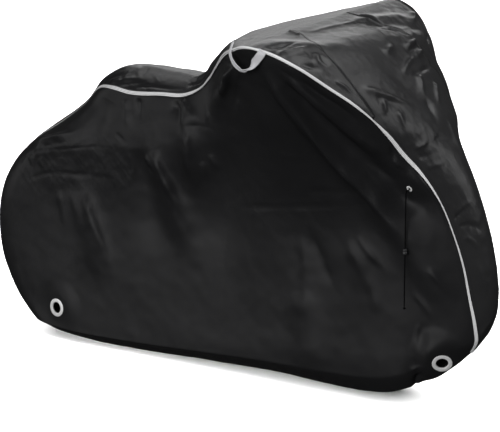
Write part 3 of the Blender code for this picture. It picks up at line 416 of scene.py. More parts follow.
SHIELD_CREASES = {
    "brow lift": (
        ((0.060, -0.160, 1.134), (0.077, -0.013, 1.143), (0.104, 0.136, 1.156),
         (0.115, 0.240, 1.165)),
        0.014, 0.012, 0.0027, 0.0,
    ),
    "brow dark": (
        ((0.070, 0.120, 1.155), (0.129, 0.199, 1.149), (0.156, 0.258, 1.140),
         (0.166, 0.343, 1.124)),
        0.007, 0.010, -0.0081, 0.0,
    ),
    "brow light": (
        ((0.150, 0.120, 1.131), (0.172, 0.220, 1.128), (0.177, 0.330, 1.120)),
        0.006, 0.007, 0.0095, 0.3,
    ),
    "brow dark two": (
        ((0.180, 0.090, 1.127), (0.206, 0.194, 1.116), (0.206, 0.320, 1.096)),
        0.007, 0.010, -0.0081, 0.0,
    ),
    "brow light two": (
        ((0.242, 0.140, 1.100), (0.233, 0.225, 1.094), (0.210, 0.330, 1.084)),
        0.007, 0.008, 0.0095, 0.3,
    ),
    "side blob": (
        ((0.268, -0.030, 1.072), (0.258, 0.010, 1.080), (0.250, 0.060, 1.089)),
        0.014, 0.014, 0.0061, 0.0,
    ),
    "side patch": (
        ((0.266, 0.095, 1.077), (0.260, 0.149, 1.086), (0.237, 0.235, 1.088)),
        0.010, 0.009, 0.0095, 0.0,
    ),
    "side patch two": (
        ((0.300, 0.110, 1.046), (0.264, 0.217, 1.059), (0.229, 0.320, 1.064)),
        0.009, 0.010, 0.0095, 0.0,
    ),
    "side shade": (
        ((0.282, 0.080, 1.062), (0.268, 0.160, 1.070), (0.240, 0.262, 1.076)),
        0.007, 0.008, -0.0068, 0.0,
    ),
    "side curve": (
        ((0.330, -0.020, 1.010), (0.309, 0.032, 1.030), (0.299, 0.079, 1.042),
         (0.297, 0.150, 1.043)),
        0.011, 0.010, 0.0095, 0.3,
    ),
    "side dark": (
        ((0.338, 0.020, 1.002), (0.334, 0.088, 1.012), (0.306, 0.200, 1.013)),
        0.007, 0.007, -0.0095, 0.0,
    ),
    "streak": (
        ((0.310, -0.240, 0.995), (0.345, -0.180, 0.974), (0.379, -0.121, 0.946),
         (0.410, -0.066, 0.918)),
        0.015, 0.007, 0.0121, 0.4,
    ),
    "streak dark": (
        ((0.345, -0.212, 0.968), (0.368, -0.168, 0.955), (0.392, -0.120, 0.938)),
        0.012, 0.011, -0.0068, 0.0,
    ),
    "under light": (
        ((0.357, -0.180, 0.965), (0.369, -0.192, 0.944), (0.383, -0.196, 0.915)),
        0.009, 0.008, 0.0081, 0.0,
    ),
    "under light two": (
        ((0.392, -0.146, 0.926), (0.406, -0.153, 0.899), (0.421, -0.152, 0.866)),
        0.01, 0.011, 0.0054, 0.0,
    ),
    "drop one": (
        ((0.334, 0.068, 1.010), (0.366, 0.030, 0.973), (0.395, 0.002, 0.935)),
        0.013, 0.015, 0.0074, 0.0,
    ),
    "drop two": (
        ((0.360, 0.124, 0.976), (0.392, 0.084, 0.943), (0.424, 0.046, 0.906)),
        0.008, 0.011, 0.0095, 0.0,
    ),
    "drop two shade": (
        ((0.392, 0.020, 0.940), (0.426, -0.010, 0.890), (0.452, -0.030, 0.846)),
        0.012, 0.012, -0.0068, 0.0,
    ),
    "drop three": (
        ((0.438, 0.050, 0.881), (0.478, 0.036, 0.818), (0.533, 0.006, 0.750)),
        0.010, 0.012, 0.0041, 0.0,
    ),
    "throat light": (
        ((0.438, -0.142, 0.812), (0.452, -0.112, 0.818), (0.459, -0.080, 0.838)),
        0.008, 0.006, 0.0054, 0.0,
    ),
    "throat dark": (
        ((0.450, -0.132, 0.786), (0.472, -0.096, 0.788), (0.486, -0.060, 0.800)),
        0.009, 0.009, -0.0041, 0.0,
    ),
    "throat two": (
        ((0.468, -0.118, 0.752), (0.488, -0.089, 0.758), (0.506, -0.050, 0.766)),
        0.008, 0.008, 0.0041, 0.0,
    ),
    "fender dark": (
        ((0.556, -0.082, 0.590), (0.568, -0.063, 0.620), (0.584, -0.040, 0.630)),
        0.007, 0.006, -0.0047, 0.0,
    ),
    "fender light": (
        ((0.560, -0.080, 0.610), (0.576, -0.050, 0.640), (0.586, -0.020, 0.650)),
        0.006, 0.006, 0.0041, 0.0,
    ),
    "fender slit": (
        ((0.565, -0.080, 0.574), (0.593, -0.050, 0.580), (0.617, -0.018, 0.556)),
        0.007, 0.007, -0.0054, 0.0,
    ),
    "fender fold": (
        ((0.578, -0.076, 0.548), (0.604, -0.054, 0.532), (0.622, -0.040, 0.494)),
        0.009, 0.008, 0.0047, 0.0,
    ),
    "front drop": (
        ((0.612, -0.050, 0.480), (0.636, -0.036, 0.400), (0.650, -0.026, 0.320)),
        0.010, 0.012, 0.0027, 0.0,
    ),
    "front end": (
        ((0.640, -0.060, 0.236), (0.654, -0.040, 0.269), (0.664, -0.008, 0.300)),
        0.008, 0.008, 0.0041, 0.0,
    ),
    "front end two": (
        ((0.626, -0.040, 0.200), (0.646, -0.010, 0.236), (0.654, 0.020, 0.262)),
        0.010, 0.008, -0.0027, 0.0,
    ),
}
WEDGE_CREASES = {
    "corner light": (
        ((0.110, -0.392, 1.098), (0.140, -0.330, 1.108), (0.152, -0.262, 1.121)),
        0.016, 0.012, 0.0104, 0.0,
    ),
    "corner dark": (
        ((0.060, -0.380, 1.112), (0.090, -0.330, 1.121), (0.110, -0.250, 1.130)),
        0.010, 0.012, -0.0078, 0.0,
    ),
    "middle dark": (
        ((0.178, -0.372, 1.074), (0.212, -0.339, 1.064), (0.246, -0.316, 1.046)),
        0.008, 0.009, -0.0065, 0.0,
    ),
    "middle light": (
        ((0.186, -0.286, 1.100), (0.210, -0.310, 1.076), (0.245, -0.297, 1.056)),
        0.009, 0.010, 0.0078, 0.0,
    ),
    "tip light": (
        ((0.262, -0.306, 1.026), (0.287, -0.286, 1.006), (0.312, -0.272, 0.978)),
        0.008, 0.007, 0.0052, 0.0,
    ),
    "far corner": (
        ((0.120, 0.380, 1.140), (0.160, 0.320, 1.130), (0.190, 0.250, 1.116)),
        0.012, 0.012, 0.0091, 0.0,
    ),
    "far middle": (
        ((0.200, 0.350, 1.086), (0.230, 0.310, 1.076), (0.262, 0.270, 1.058)),
        0.009, 0.010, -0.0091, 0.0,
    ),
}

# Where the cloth is crumpled, as a round patch: place, radius and strength.
NEAR_CRUMPLES = {
    # name: (station, height, radius, strength)
    "casing front": (0.300, 0.668, 0.090, 0.9),
    "casing middle": (0.080, 0.615, 0.120, 0.5),
    "casing rear end": (-0.130, 0.570, 0.120, 0.35),
    "rear casing": (-0.760, 0.622, 0.110, 0.9),
    "rear casing mid": (-0.900, 0.615, 0.110, 0.8),
    "rear casing back": (-1.060, 0.590, 0.100, 0.9),
    "middle nicks": (-0.560, 0.640, 0.050, 0.7),
    "eyelet tuck": (0.455, 0.100, 0.050, 0.6),
    "saddle side": (-0.600, 0.800, 0.120, 0.25),
}
FAR_CRUMPLES = {
    "casing front": (0.280, 0.660, 0.120, 0.6),
    "casing rear": (-0.860, 0.610, 0.160, 0.7),
}
STRIP_CRUMPLES = {
    # name: (station, side, height, radius, strength)
    "seat rear": (-0.720, -0.070, 0.905, 0.100, 0.8),
    "seat side": (-0.600, -0.100, 0.897, 0.080, 0.6),
    "dip": (-0.370, -0.070, 0.950, 0.090, 0.8),
    "neck": (-0.200, -0.180, 1.070, 0.090, 0.5),
    "bar": (-0.060, -0.280, 1.115, 0.080, 0.9),
    "far seat": (-0.640, 0.090, 0.905, 0.120, 0.6),
    "far bar": (-0.080, 0.300, 1.120, 0.120, 0.6),
}
SHIELD_CRUMPLES = {
    "far brow": (0.180, 0.170, 1.122, 0.120, 0.9),
    "far side": (0.270, 0.180, 1.060, 0.110, 0.9),
    "middle": (0.340, 0.060, 1.000, 0.100, 0.5),
    "streak": (0.370, -0.150, 0.950, 0.080, 0.7),
    "throat": (0.450, -0.110, 0.830, 0.080, 0.9),
    "throat low": (0.500, -0.080, 0.740, 0.070, 0.6),
    "fender": (0.580, -0.060, 0.590, 0.080, 0.9),
    "front": (0.630, -0.040, 0.430, 0.090, 0.4),
    "near corner": (0.130, -0.340, 1.105, 0.070, 0.8),
    "near wedge": (0.215, -0.320, 1.070, 0.080, 1.0),
    "far corner": (0.150, 0.330, 1.130, 0.110, 0.8),
}

# Stitched lines: the cord casings of the side panels, by station and height.
CASING_ROWS = {
    "front top": ((0.040, 0.632), (0.130, 0.645), (0.214, 0.656), (0.319, 0.686), (0.408, 0.699)),
    "front low": (
        (-0.262, 0.531), (-0.057, 0.569), (0.102, 0.591), (0.232, 0.613), (0.330, 0.640),
        (0.400, 0.665),
    ),
    "rear top": (
        (-1.150, 0.590), (-1.040, 0.634), (-0.922, 0.655), (-0.766, 0.676), (-0.668, 0.672),
    ),
    "rear low": (
        (-1.130, 0.516), (-0.989, 0.563), (-0.893, 0.566), (-0.719, 0.575), (-0.664, 0.581),
    ),
}

# The bottom eyelets, by station and height, and how each faces: forward, outward, up.
EYELETS = {
    "near": {
        "rear": (-0.977, 0.091, (-0.10, 1.00, 0.02)),
        "front": (0.531, 0.141, (0.50, 0.78, -0.38)),
    },
    "far": {
        "rear": (-0.960, 0.095, (-0.08, 1.00, 0.00)),
        "front": (0.505, 0.195, (0.30, 0.92, -0.20)),
    },
}
CORD_RING_PLACE = (0.425, 0.685)  # station and height
CORD_ROOM = 0.385  # how far below its ring the cord has to clear the panel

# The strap loop, from its end on the strip over the tape and back up to the tape.
LOOP_ROWS = (
    # station, side, height, width direction: forward, side, up
    (-0.0690, -0.3560, 1.1215, 0.75, -0.61, 0.24),
    (-0.0700, -0.3585, 1.1150, 0.75, -0.61, 0.24),
    (-0.0712, -0.3612, 1.1070, 0.75, -0.61, 0.24),
    (-0.0722, -0.3640, 1.0990, 0.75, -0.61, 0.24),
    (-0.0730, -0.3655, 1.0910, 0.75, -0.61, 0.24),
    (-0.0728, -0.3650, 1.0829, 0.75, -0.61, 0.24),
    (-0.0702, -0.3635, 1.0710, 0.75, -0.61, 0.27),
    (-0.0633, -0.3640, 1.0596, 0.75, -0.57, 0.34),
    (-0.0506, -0.3670, 1.0503, 0.70, -0.59, 0.42),
    (-0.0345, -0.3710, 1.0439, 0.60, -0.65, 0.46),
    (-0.0184, -0.3760, 1.0424, 0.58, -0.71, 0.40),
    (-0.0019, -0.3820, 1.0484, 0.65, -0.69, 0.32),
    (0.0165, -0.3890, 1.0576, 0.85, -0.52, 0.13),
    (0.0376, -0.3970, 1.0726, 0.99, -0.09, -0.07),
    (0.0586, -0.4060, 1.0906, 0.95, 0.20, -0.24),
    (0.0690, -0.4095, 1.1010, 0.96, 0.17, -0.25),
    (0.0757, -0.4095, 1.1126, 0.96, 0.15, -0.25),
)


class Side(Enum):
    """A side of the cover, by the sign of its Y."""

    NEAR = -1.0
    FAR = 1.0


def smooth(value: np.ndarray) -> np.ndarray:
    """An S-shaped ramp from 0 to 1."""
    value = np.clip(value, 0.0, 1.0)
    return value * value * (3 - 2 * value)


def unit(vectors: np.ndarray) -> np.ndarray:
    """Vectors of length one; one without a length stays as it is."""
    return vectors / np.maximum(np.linalg.norm(vectors, axis=-1), 1e-12)[..., None]


def shares(count: int, ease: float = 0.55) -> np.ndarray:
    """Values from 0 to 1 that lie closer together towards both ends."""
    even = np.linspace(0.0, 1.0, count + 1)
    return (1 - ease) * even + ease * (1 - np.cos(math.pi * even)) / 2


def in_frame(points: np.ndarray) -> np.ndarray:
    """Points by station, side and height, in the model's frame."""
    return np.asarray(points, dtype=float) - (SUPPORT_STATION, 0.0, SUPPORT_HEIGHT)


class Track:
    """A smooth curve through rows of values, read by distance along it."""

    def __init__(self, rows: list) -> None:
        """Measure the curve.

        Args:
            rows: The values at each point, its place first.
        """
        self.rows = np.array(rows, dtype=float)
        steps = np.linalg.norm(np.diff(self.rows[:, :3], axis=0), axis=1)
        self.keys = np.concatenate(([0.0], np.cumsum(steps)))
        self.slopes = np.gradient(self.rows, self.keys, axis=0)

    @property
    def length(self) -> float:
        """The curve's length."""
        return float(self.keys[-1])

    def at(self, distance: np.ndarray) -> np.ndarray:
        """Read the curve.

        Args:
            distance: Distances along it.

        Returns:
            The row of values at each distance.
        """
        distance = np.clip(np.asarray(distance, dtype=float), 0.0, self.keys[-1])
        cell = np.clip(np.searchsorted(self.keys, distance) - 1, 0, len(self.keys) - 2)
        span = (self.keys[cell + 1] - self.keys[cell])[:, None]
        t = (distance - self.keys[cell])[:, None] / span
        start, end = self.rows[cell], self.rows[cell + 1]
        leave, arrive = self.slopes[cell] * span, self.slopes[cell + 1] * span
        return (
            (2 * t**3 - 3 * t**2 + 1) * start
            + (t**3 - 2 * t**2 + t) * leave
            + (3 * t**2 - 2 * t**3) * end
            + (t**3 - t**2) * arrive
        )


SEAM = Track(list(SEAM_ROWS.values()))
HEM = Track(HEM_ROWS)
SEAM_KEYS = dict(zip(SEAM_ROWS, SEAM.keys))
REAR_KEY = SEAM_KEYS[REAR_CORNER]
BAR_KEY = SEAM_KEYS[BAR_CORNER]
END_KEY = SEAM.keys[-1]


def seam_points(distance: np.ndarray, side: Side) -> np.ndarray:
    """Find points on a taped seam.

    Args:
        distance: Distances along the seam from the rear hem.
        side: Which of the two seams.

    Returns:
        The points, in the model's frame.
    """
    row = SEAM.at(distance)
    station, half, height = row[:, 0], row[:, 1], row[:, 2]
    if side is Side.FAR:
        keys = [SEAM_KEYS[place] for place in FAR_ROWS]
        forward, outward, up = (
            np.interp(distance, keys, move) for move in zip(*FAR_ROWS.values())
        )
        station, half, height = station + forward, half + outward, height + up
    return in_frame(np.column_stack((station, side.value * half, height)))


def hem_points(share: np.ndarray, side: Side) -> np.ndarray:
    """Find points on the lower edge of a side panel.

    Args:
        share: Shares of the edge's length from the rear.
        side: Which panel.

    Returns:
        The points, in the model's frame.
    """
    row = HEM.at(share * HEM.length)
    if side is Side.FAR:
        row = row + smooth((share[:, None] - 0.6) / 0.4) * FAR_ROWS["front hem"]
        depth, first, grow, end = FAR_HEM_SAG
        row[:, 2] -= depth * smooth((share - first) / grow) * smooth((1 - share) / end)
    return in_frame(np.column_stack((row[:, 0], side.value * row[:, 1], row[:, 2])))


FOLD_STEPS = 41  # points along a deep fold
CREASE_STEPS = 24  # points along a crease
CREASE_REACH = 3.2  # how far beside its line a crease acts, in widths


def drape_heights(flat: np.ndarray, drapes: dict) -> np.ndarray:
    """Work out the deep folds.

    Args:
        flat: The flat place of each point of a cloth.
        drapes: A table of folds.

    Returns:
        How far each point moves out.
    """
    total = np.zeros(flat.shape[:-1])
    for x0, h0, x1, h1, x2, h2, start_width, end_width, rise in drapes.values():
        t = np.linspace(0.0, 1.0, FOLD_STEPS)[:, None]
        line = (1 - t) ** 2 * (x0, h0) + 2 * t * (1 - t) * (x1, h1) + t * t * (x2, h2)
        away, along, _ = from_line(flat, line)
        width = start_width + (end_width - start_width) * along
        ends = smooth(along / 0.25 + 0.3) * smooth((1 - along) / 0.4 + 0.05)
        total += rise * np.exp(-((away / width) ** 2)) * ends
    return total


def from_line(points: np.ndarray, line: np.ndarray, normals: np.ndarray = None) -> tuple:
    """Measure points from a line of short steps.

    Args:
        points: The points, in two or three dimensions.
        line: The line's own points.
        normals: The cloth's normals at the points, needed where they are in three
            dimensions.

    Returns:
        The distance from the line, the share of the way along it, and the side of it
        (positive to its left), each for every point.
    """
    shape = points.shape[:-1]
    points = points.reshape(-1, points.shape[-1])
    start, step = line[:-1], np.diff(line, axis=0)
    square = np.maximum(np.sum(step * step, axis=1), 1e-12)
    nearest = np.full(len(points), np.inf)
    along, sign = np.zeros(len(points)), np.ones(len(points))
    for i in range(len(start)):
        offset = points - start[i]
        t = np.clip(offset @ step[i] / square[i], 0.0, 1.0)
        away = offset - t[:, None] * step[i]
        distance = np.linalg.norm(away, axis=1)
        closer = distance < nearest
        if points.shape[1] == 2:
            turn = step[i, 0] * away[:, 1] - step[i, 1] * away[:, 0]
        else:
            turn = np.sum(np.cross(step[i], away) * normals, axis=1)
        nearest = np.where(closer, distance, nearest)
        along = np.where(closer, (i + t) / len(start), along)
        sign = np.where(closer, np.sign(turn), sign)
    return nearest.reshape(shape), along.reshape(shape), sign.reshape(shape)


def grid_normals(grid: np.ndarray, turned: bool) -> np.ndarray:
    """Unit normals of a grid of points, the other way round where it is turned."""
    normal = np.cross(np.gradient(grid, axis=1), np.gradient(grid, axis=0))
    return unit(normal) * (-1.0 if turned else 1.0)


def grid_faces(rows: int, columns: int, turned: bool = False, closed: bool = False) -> np.ndarray:
    """Join a grid's points into quads.

    Args:
        rows: Points along its first axis.
        columns: Points along its second.
        turned: Whether its faces look the other way.
        closed: Whether its last column joins its first.

    Returns:
        Four point numbers for each quad.
    """
    r, c = np.meshgrid(
        np.arange(rows - 1), np.arange(columns if closed else columns - 1), indexing="ij"
    )
    a, b = r * columns + c, r * columns + (c + 1) % columns
    quads = np.stack((a, b, b + columns, a + columns), axis=-1).reshape(-1, 4)
    return quads[:, ::-1] if turned else quads


def tree_of(grid: np.ndarray) -> BVHTree:
    """A search tree over a grid of points."""
    quads = grid_faces(*grid.shape[:2])
    return BVHTree.FromPolygons(grid.reshape(-1, 3).tolist(), quads.tolist())


def lay_creases(grid: np.ndarray, flat: np.ndarray, turned: bool, creases: dict) -> np.ndarray:
    """Lay listed creases on a cloth.

    Args:
        grid: The cloth's points.
        flat: Their flat places, for creases that are given in two dimensions.
        turned: Whether the grid's faces are turned.
        creases: A table of creases.

    Returns:
        How far each point moves out.
    """
    total = np.zeros(grid.shape[:2])
    normals = grid_normals(grid, turned).reshape(-1, 3)
    wider = 1 + 0.30 * rough_heights(grid, 0.065, False).ravel()
    higher = 1 + 0.35 * rough_heights(grid + 1.7, 0.050, False).ravel()
    tree = None
    for points, start_width, end_width, rise, lean in creases.values():
        track = Track(points)
        line = track.at(np.linspace(0.0, track.length, CREASE_STEPS))
        if line.shape[1] == 3:
            tree = tree or tree_of(grid)
            line = np.array([tree.find_nearest(p)[0] for p in in_frame(line)])
            places = grid.reshape(-1, 3)
        else:
            places = flat.reshape(-1, 2)
        reach = CREASE_REACH * max(start_width, end_width) * (1 + abs(lean))
        near = np.all((places > line.min(0) - reach) & (places < line.max(0) + reach), axis=1)
        away, along, sign = from_line(places[near], line, normals[near])
        width = start_width + (end_width - start_width) * along
        ends = smooth(along / 0.22) * smooth((1 - along) / 0.55)
        width = width * (1 - 0.65 * lean * sign * ends**0.5) * wider[near]
        total.ravel()[near] += rise * higher[near] * ends / (1 + (away / width) ** 2) ** 1.6
    return total


def crumple_mask(places: np.ndarray, crumples: dict, base: float) -> np.ndarray:
    """How crumpled a cloth is at each place, from 0 to 1.

    Args:
        places: Two or three measures for each point.
        crumples: A table of patches.
        base: How crumpled the cloth is elsewhere.

    Returns:
        The mask.
    """
    mask = np.full(places.shape[:-1], base)
    for *centre, radius, strength in crumples.values():
        if len(centre) == 3:
            centre = in_frame(centre)
        away = np.linalg.norm(places - centre, axis=-1)
        mask = np.maximum(mask, strength * smooth(1.5 - away / radius))
    return mask


def rough_heights(grid: np.ndarray, size: float, ridged: bool) -> np.ndarray:
    """Uneven heights from -1 to 1 over a cloth.

    Args:
        grid: The cloth's points.
        size: Length of one unevenness.
        ridged: Whether it has sharp crests, as crumpled cloth does.

    Returns:
        A height for each point.
    """
    scaled = grid.reshape(-1, 3) / size
    if not ridged:
        values = np.array([noise.noise(Vector(p)) for p in scaled])
        return (values * 1.6).reshape(grid.shape[:2])
    bent = [Vector(p) + 0.4 * noise.noise_vector(Vector(p) * 0.9) for p in scaled]
    away = np.array([noise.voronoi(p)[0][0] for p in bent]).reshape(grid.shape[:2])
    return 2.6 * np.sqrt(away**2 + 0.03) - 1.3


# ------------------------------------------------------------------ materials
class Wire:
    """A socket's value, with the arithmetic that adds its own Math nodes."""

    def __init__(self, maker: "Finish", socket: bpy.types.NodeSocket) -> None:
        """Keep the socket.

        Args:
            maker: The finish whose nodes it belongs to.
            socket: An output socket.
        """
        self.maker, self.socket = maker, socket

    def math(self, operation: str, *others: object) -> "Wire":
        """Work out one operation on this value and others."""
        sockets = {i: v for i, v in enumerate((self, *others))}
        return self.maker.node("Math", {"operation": operation}, sockets)

    def __add__(self, other: object) -> "Wire":
        """Sum."""
        return self.math("ADD", other)

    __radd__ = __add__

    def __sub__(self, other: object) -> "Wire":
        """Difference."""
        return self.math("SUBTRACT", other)

    def __mul__(self, other: object) -> "Wire":
        """Product."""
        return self.math("MULTIPLY", other)

    __rmul__ = __mul__

    def __abs__(self) -> "Wire":
        """Size without its sign."""
        return self.math("ABSOLUTE")

    def sine(self) -> "Wire":
        """Sine of this value."""
        return self.math("SINE")

    def held(self) -> "Wire":
        """The value held between 0 and 1."""
        return self.math("MULTIPLY", 1.0).clamped()

    def clamped(self) -> "Wire":
        """Clamp the node that this value comes from."""
        self.socket.node.use_clamp = True
        return self


@dataclass(frozen=True)
class Finish:
    """A material with one Principled shader, and the nodes that vary it."""

    name: str
    slot: str
    colour: tuple
    roughness: float

    def node(self, kind: str, settings: dict = None, sockets: dict = None, out: object = 0) -> Wire:
        """Add a node.

        Args:
            kind: Its type, without ShaderNode.
            settings: Its own settings, which are set first.
            sockets: A value or a Wire for each input socket.
            out: The output socket that is wanted.

        Returns:
            That output.
        """
        tree = self.material.node_tree
        made = tree.nodes.new("ShaderNode" + kind)
        for name, value in (settings or {}).items():
            setattr(made, name, value)
        for name, value in (sockets or {}).items():
            self.feed(made.inputs[name], value)
        return Wire(self, made.outputs[out])

    def feed(self, socket: bpy.types.NodeSocket, value: object) -> None:
        """Link a Wire into a socket, or set the socket's own value."""
        if isinstance(value, Wire):
            self.material.node_tree.links.new(value.socket, socket)
        else:
            socket.default_value = value

    @property
    def material(self) -> bpy.types.Material:
        """The finish's material, made the first time."""
        found = bpy.data.materials.get(self.name)
        if found is None:
            found = bpy.data.materials.new(self.name)
            found.use_nodes = True
            self.dress()
        return found

    def shader(self, **values: object) -> None:
        """Feed the Principled shader's sockets, named with _ for a space."""
        surface = self.material.node_tree.nodes["Principled BSDF"]
        for name, value in values.items():
            self.feed(surface.inputs[name.replace("_", " ")], value)

    def mix(self, factor: object, first: object, second: object) -> Wire:
        """Mix two colours."""
        return self.node(
            "Mix", {"data_type": "RGBA"}, {0: factor, 6: first, 7: second}, 2
        )

    def noise(self, place: Wire, scale: float, detail: float = 3.0, warp: float = 0.0) -> Wire:
        """A noise pattern from 0 to 1."""
        return self.node(
            "TexNoise", None,
            {"Vector": place, "Scale": scale, "Detail": detail, "Distortion": warp},
        )

    def facets(self, place: Wire, scale: float) -> Wire:
        """Uneven heights that meet in sharp crests, from 0 to about 0.8."""
        bend = self.noise(place, scale * 0.4, 2.0) * (0.9 / scale)
        return self.node(
            "TexVoronoi", None, {"Vector": place + bend, "Scale": scale}, "Distance"
        )

    def bump(self, height: Wire) -> Wire:
        """A bump from heights in metres."""
        return self.node("Bump", None, {"Strength": 1.0, "Distance": 1.0, "Height": height})

    def axes(self, place: Wire) -> tuple:
        """The three parts of a place."""
        made = self.node("SeparateXYZ", None, {0: place})
        return tuple(Wire(self, s) for s in made.socket.node.outputs)

    def place(self) -> Wire:
        """The object's own coordinates."""
        return self.node("TexCoord", None, None, "Object")

    def flat(self) -> Wire:
        """The place on the flat cloth, from its UV map in metres."""
        return self.node("UVMap", {"uv_map": "flat"})

    def mask(self, name: str) -> Wire:
        """A number that the mesh keeps for each point."""
        return self.node("Attribute", {"attribute_name": name}, None, "Fac")

    def dress(self) -> None:
        """Feed the shader; each kind of finish has its own way."""
        raise NotImplementedError


@dataclass(frozen=True)
class ClothFinish(Finish):
    """Coated polyester: a plain weave, fine crinkles where it is crumpled, and sheen."""

    yarn: float = 0.0011
    crinkle: float = 0.0020
    fold: float = 0.0005
    sheen: float = 0.17

    def dress(self) -> None:
        """Feed colour, roughness and bump."""
        place = self.place()
        u, v, _ = self.axes(self.flat())
        crumpled = self.mask("crumpled")
        turns = 2 * math.pi / self.yarn
        weave = (u * turns).sine() * (v * turns).sine()
        fine = self.facets(place, 36.0)
        small = self.facets(place, 85.0)
        broad = self.noise(place, 7.0, 3.0, 0.3)
        height = (
            weave * 0.00003
            + fine * crumpled * self.crinkle
            + small * crumpled * (self.crinkle * 0.3)
            + broad * self.fold
        )
        cloudy = self.noise(place, 2.6, 4.0)
        dark = tuple(c * 0.80 for c in self.colour)
        light = tuple(c * 1.25 for c in self.colour)
        tint = self.mix((cloudy * 1.8 - 0.4).clamped(), (*dark, 1), (*light, 1))
        yarns = (weave * 0.5 + 0.5) * 0.35
        self.shader(
            Base_Color=self.mix(yarns, tint, (*[c * 1.9 for c in self.colour], 1)),
            Roughness=cloudy * 0.10 + weave * 0.02 + (self.roughness - 0.05),
            Normal=self.bump(height),
            Specular_IOR_Level=self.sheen,
        )


@dataclass(frozen=True)
class TapeFinish(Finish):
    """Reflective tape or webbing, ribbed along its length; black bands along its edges paint the
    shadow line beside it.
    """

    rib: float = 0.0043
    depth: float = 0.00014
    groove: tuple = (0.30, 0.30, 0.31)
    # from this distance off the middle outwards the tape is painted black, a painted shadow line
    # along its edges; the webbing's 1.0 leaves none
    shadow_edge: float = 0.0060

    def dress(self) -> None:
        """Feed colour, roughness and bump."""
        u, v, _ = self.axes(self.flat())
        rib = (v * (2 * math.pi / self.rib)).math("COSINE") * 0.5 + 0.5
        grain = (u * (2 * math.pi / 0.0016)).sine() * 0.5 + 0.5
        soil = self.noise(self.place(), 24.0, 4.0)
        light = self.mix(soil, (*self.colour, 1), (*[c * 0.88 for c in self.colour], 1))
        ribbed = self.mix((rib * 1.3).held(), (*self.groove, 1), light)
        # black beyond that distance: a painted shadow line along both edges
        edge_shadow = ((abs(v) - self.shadow_edge) * 4000.0).held()
        self.shader(
            Base_Color=self.mix(edge_shadow, ribbed, (0.004, 0.004, 0.004, 1)),
            Roughness=soil * 0.12 + (self.roughness - 0.06),
            Normal=self.bump(rib * self.depth + grain * (self.depth * 0.35)),
        )


@dataclass(frozen=True)
class MetalFinish(Finish):
    """Satin metal with a fine turned grain."""

    def dress(self) -> None:
        """Feed colour, roughness and bump."""
        place = self.place()
        grain = self.noise(place, 420.0, 2.0)
        worn = self.noise(place, 60.0, 4.0)
        self.shader(
            Base_Color=self.mix(worn, (*self.colour, 1), (*[c * 0.86 for c in self.colour], 1)),
            Metallic=0.35,
            Roughness=worn * 0.14 + (self.roughness - 0.07),
            Normal=self.bump(grain * 0.00002),
        )


@dataclass(frozen=True)
class CordFinish(Finish):
    """A braided cord or a spun thread."""

    strand: float = 0.0026

    def dress(self) -> None:
        """Feed colour, roughness and bump."""
        x, y, z = self.axes(self.place())
        around = (x + y) * (2 * math.pi / self.strand)
        along = z * (2 * math.pi / self.strand)
        braid = (along + around).sine() * (along - around).sine()
        grain = self.noise(self.place(), 700.0, 2.0)
        lit = (*[min(1.0, c * 1.9) for c in self.colour], 1)
        self.shader(
            Base_Color=self.mix((braid * 0.5 + 0.5).held(), (*self.colour, 1), lit),
            Roughness=grain * 0.15 + (self.roughness - 0.08),
            Normal=self.bump(braid * 0.0002 + grain * 0.00004),
            Specular_IOR_Level=0.12,
        )


@dataclass(frozen=True)
class PlasticFinish(Finish):
    """Moulded plastic with a fine spark texture."""

    def dress(self) -> None:
        """Feed colour, roughness and bump."""
        place = self.place()
        grain = self.noise(place, 900.0, 2.0)
        worn = self.noise(place, 120.0, 3.0)
        lit = (*[c * 1.6 for c in self.colour], 1)
        self.shader(
            Base_Color=self.mix(worn, (*self.colour, 1), lit),
            Roughness=worn * 0.12 + (self.roughness - 0.06),
            Normal=self.bump(grain * 0.00003),
        )


PANEL_CLOTH = ClothFinish("panel cloth", "cloth", (0.0085, 0.0085, 0.0090), 0.39)
# The shield and its wedges: the panels' black cloth painted lighter for the light that falls on
# them, painted light.
LIT_SHIELD_CLOTH = ClothFinish("shield cloth painted lighter", "shield_cloth", (0.0145, 0.0145, 0.0150), 0.33)
TAPE = TapeFinish("reflective tape", "reflective_tape", (0.80, 0.80, 0.80), 0.55)
WEBBING = TapeFinish(
    "pale webbing", "webbing", (0.76, 0.76, 0.78), 0.7, 0.0042, 0.0003, (0.34, 0.34, 0.36), 1.0
)
RING_METAL = MetalFinish("ring metal", "ring_metal", (0.90, 0.90, 0.90), 0.46)
BLACK_CORD = CordFinish("black cord", "cord", (0.0008, 0.0008, 0.0009), 0.75)
BLACK_THREAD = CordFinish("black thread", "cloth", (0.0012, 0.0012, 0.0013), 0.7, 0.0008)
PALE_THREAD = CordFinish("pale thread", "reflective_tape", (0.50, 0.50, 0.51), 0.6, 0.0008)
LOCK_PLASTIC = PlasticFinish("lock plastic", "lock_plastic", (0.016, 0.016, 0.017), 0.42)


# ------------------------------------------------------------------ pieces
def declare(item: bpy.types.Object, finish: Finish, *nodes: str) -> bpy.types.Object:
    """Give a finished piece its material and body, and hide the solids that it stands for.

    Args:
        item: The piece.
        finish: Its finish.
        nodes: The solids that it stands for.

    Returns:
        The piece.
    """
    item.data.materials.clear()
    item.data.materials.append(finish.material)
    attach(item, "root")
    if nodes:
        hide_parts(*nodes)
    LOG.info("%s: %s", item.name, finish.name)
    return item


def mesh_piece(name: str, points: np.ndarray, faces: np.ndarray) -> bpy.types.Object:
    """Make a mesh object, shaded smooth.

    Args:
        name: Its name.
        points: Its points.
        faces: The point numbers of its faces.

    Returns:
        The object.
    """
    mesh = bpy.data.meshes.new(name)
    mesh.from_pydata(points.reshape(-1, 3).tolist(), [], [list(map(int, f)) for f in faces])
    mesh.shade_smooth()
    item = bpy.data.objects.new(name, mesh)
    bpy.context.scene.collection.objects.link(item)
    return item


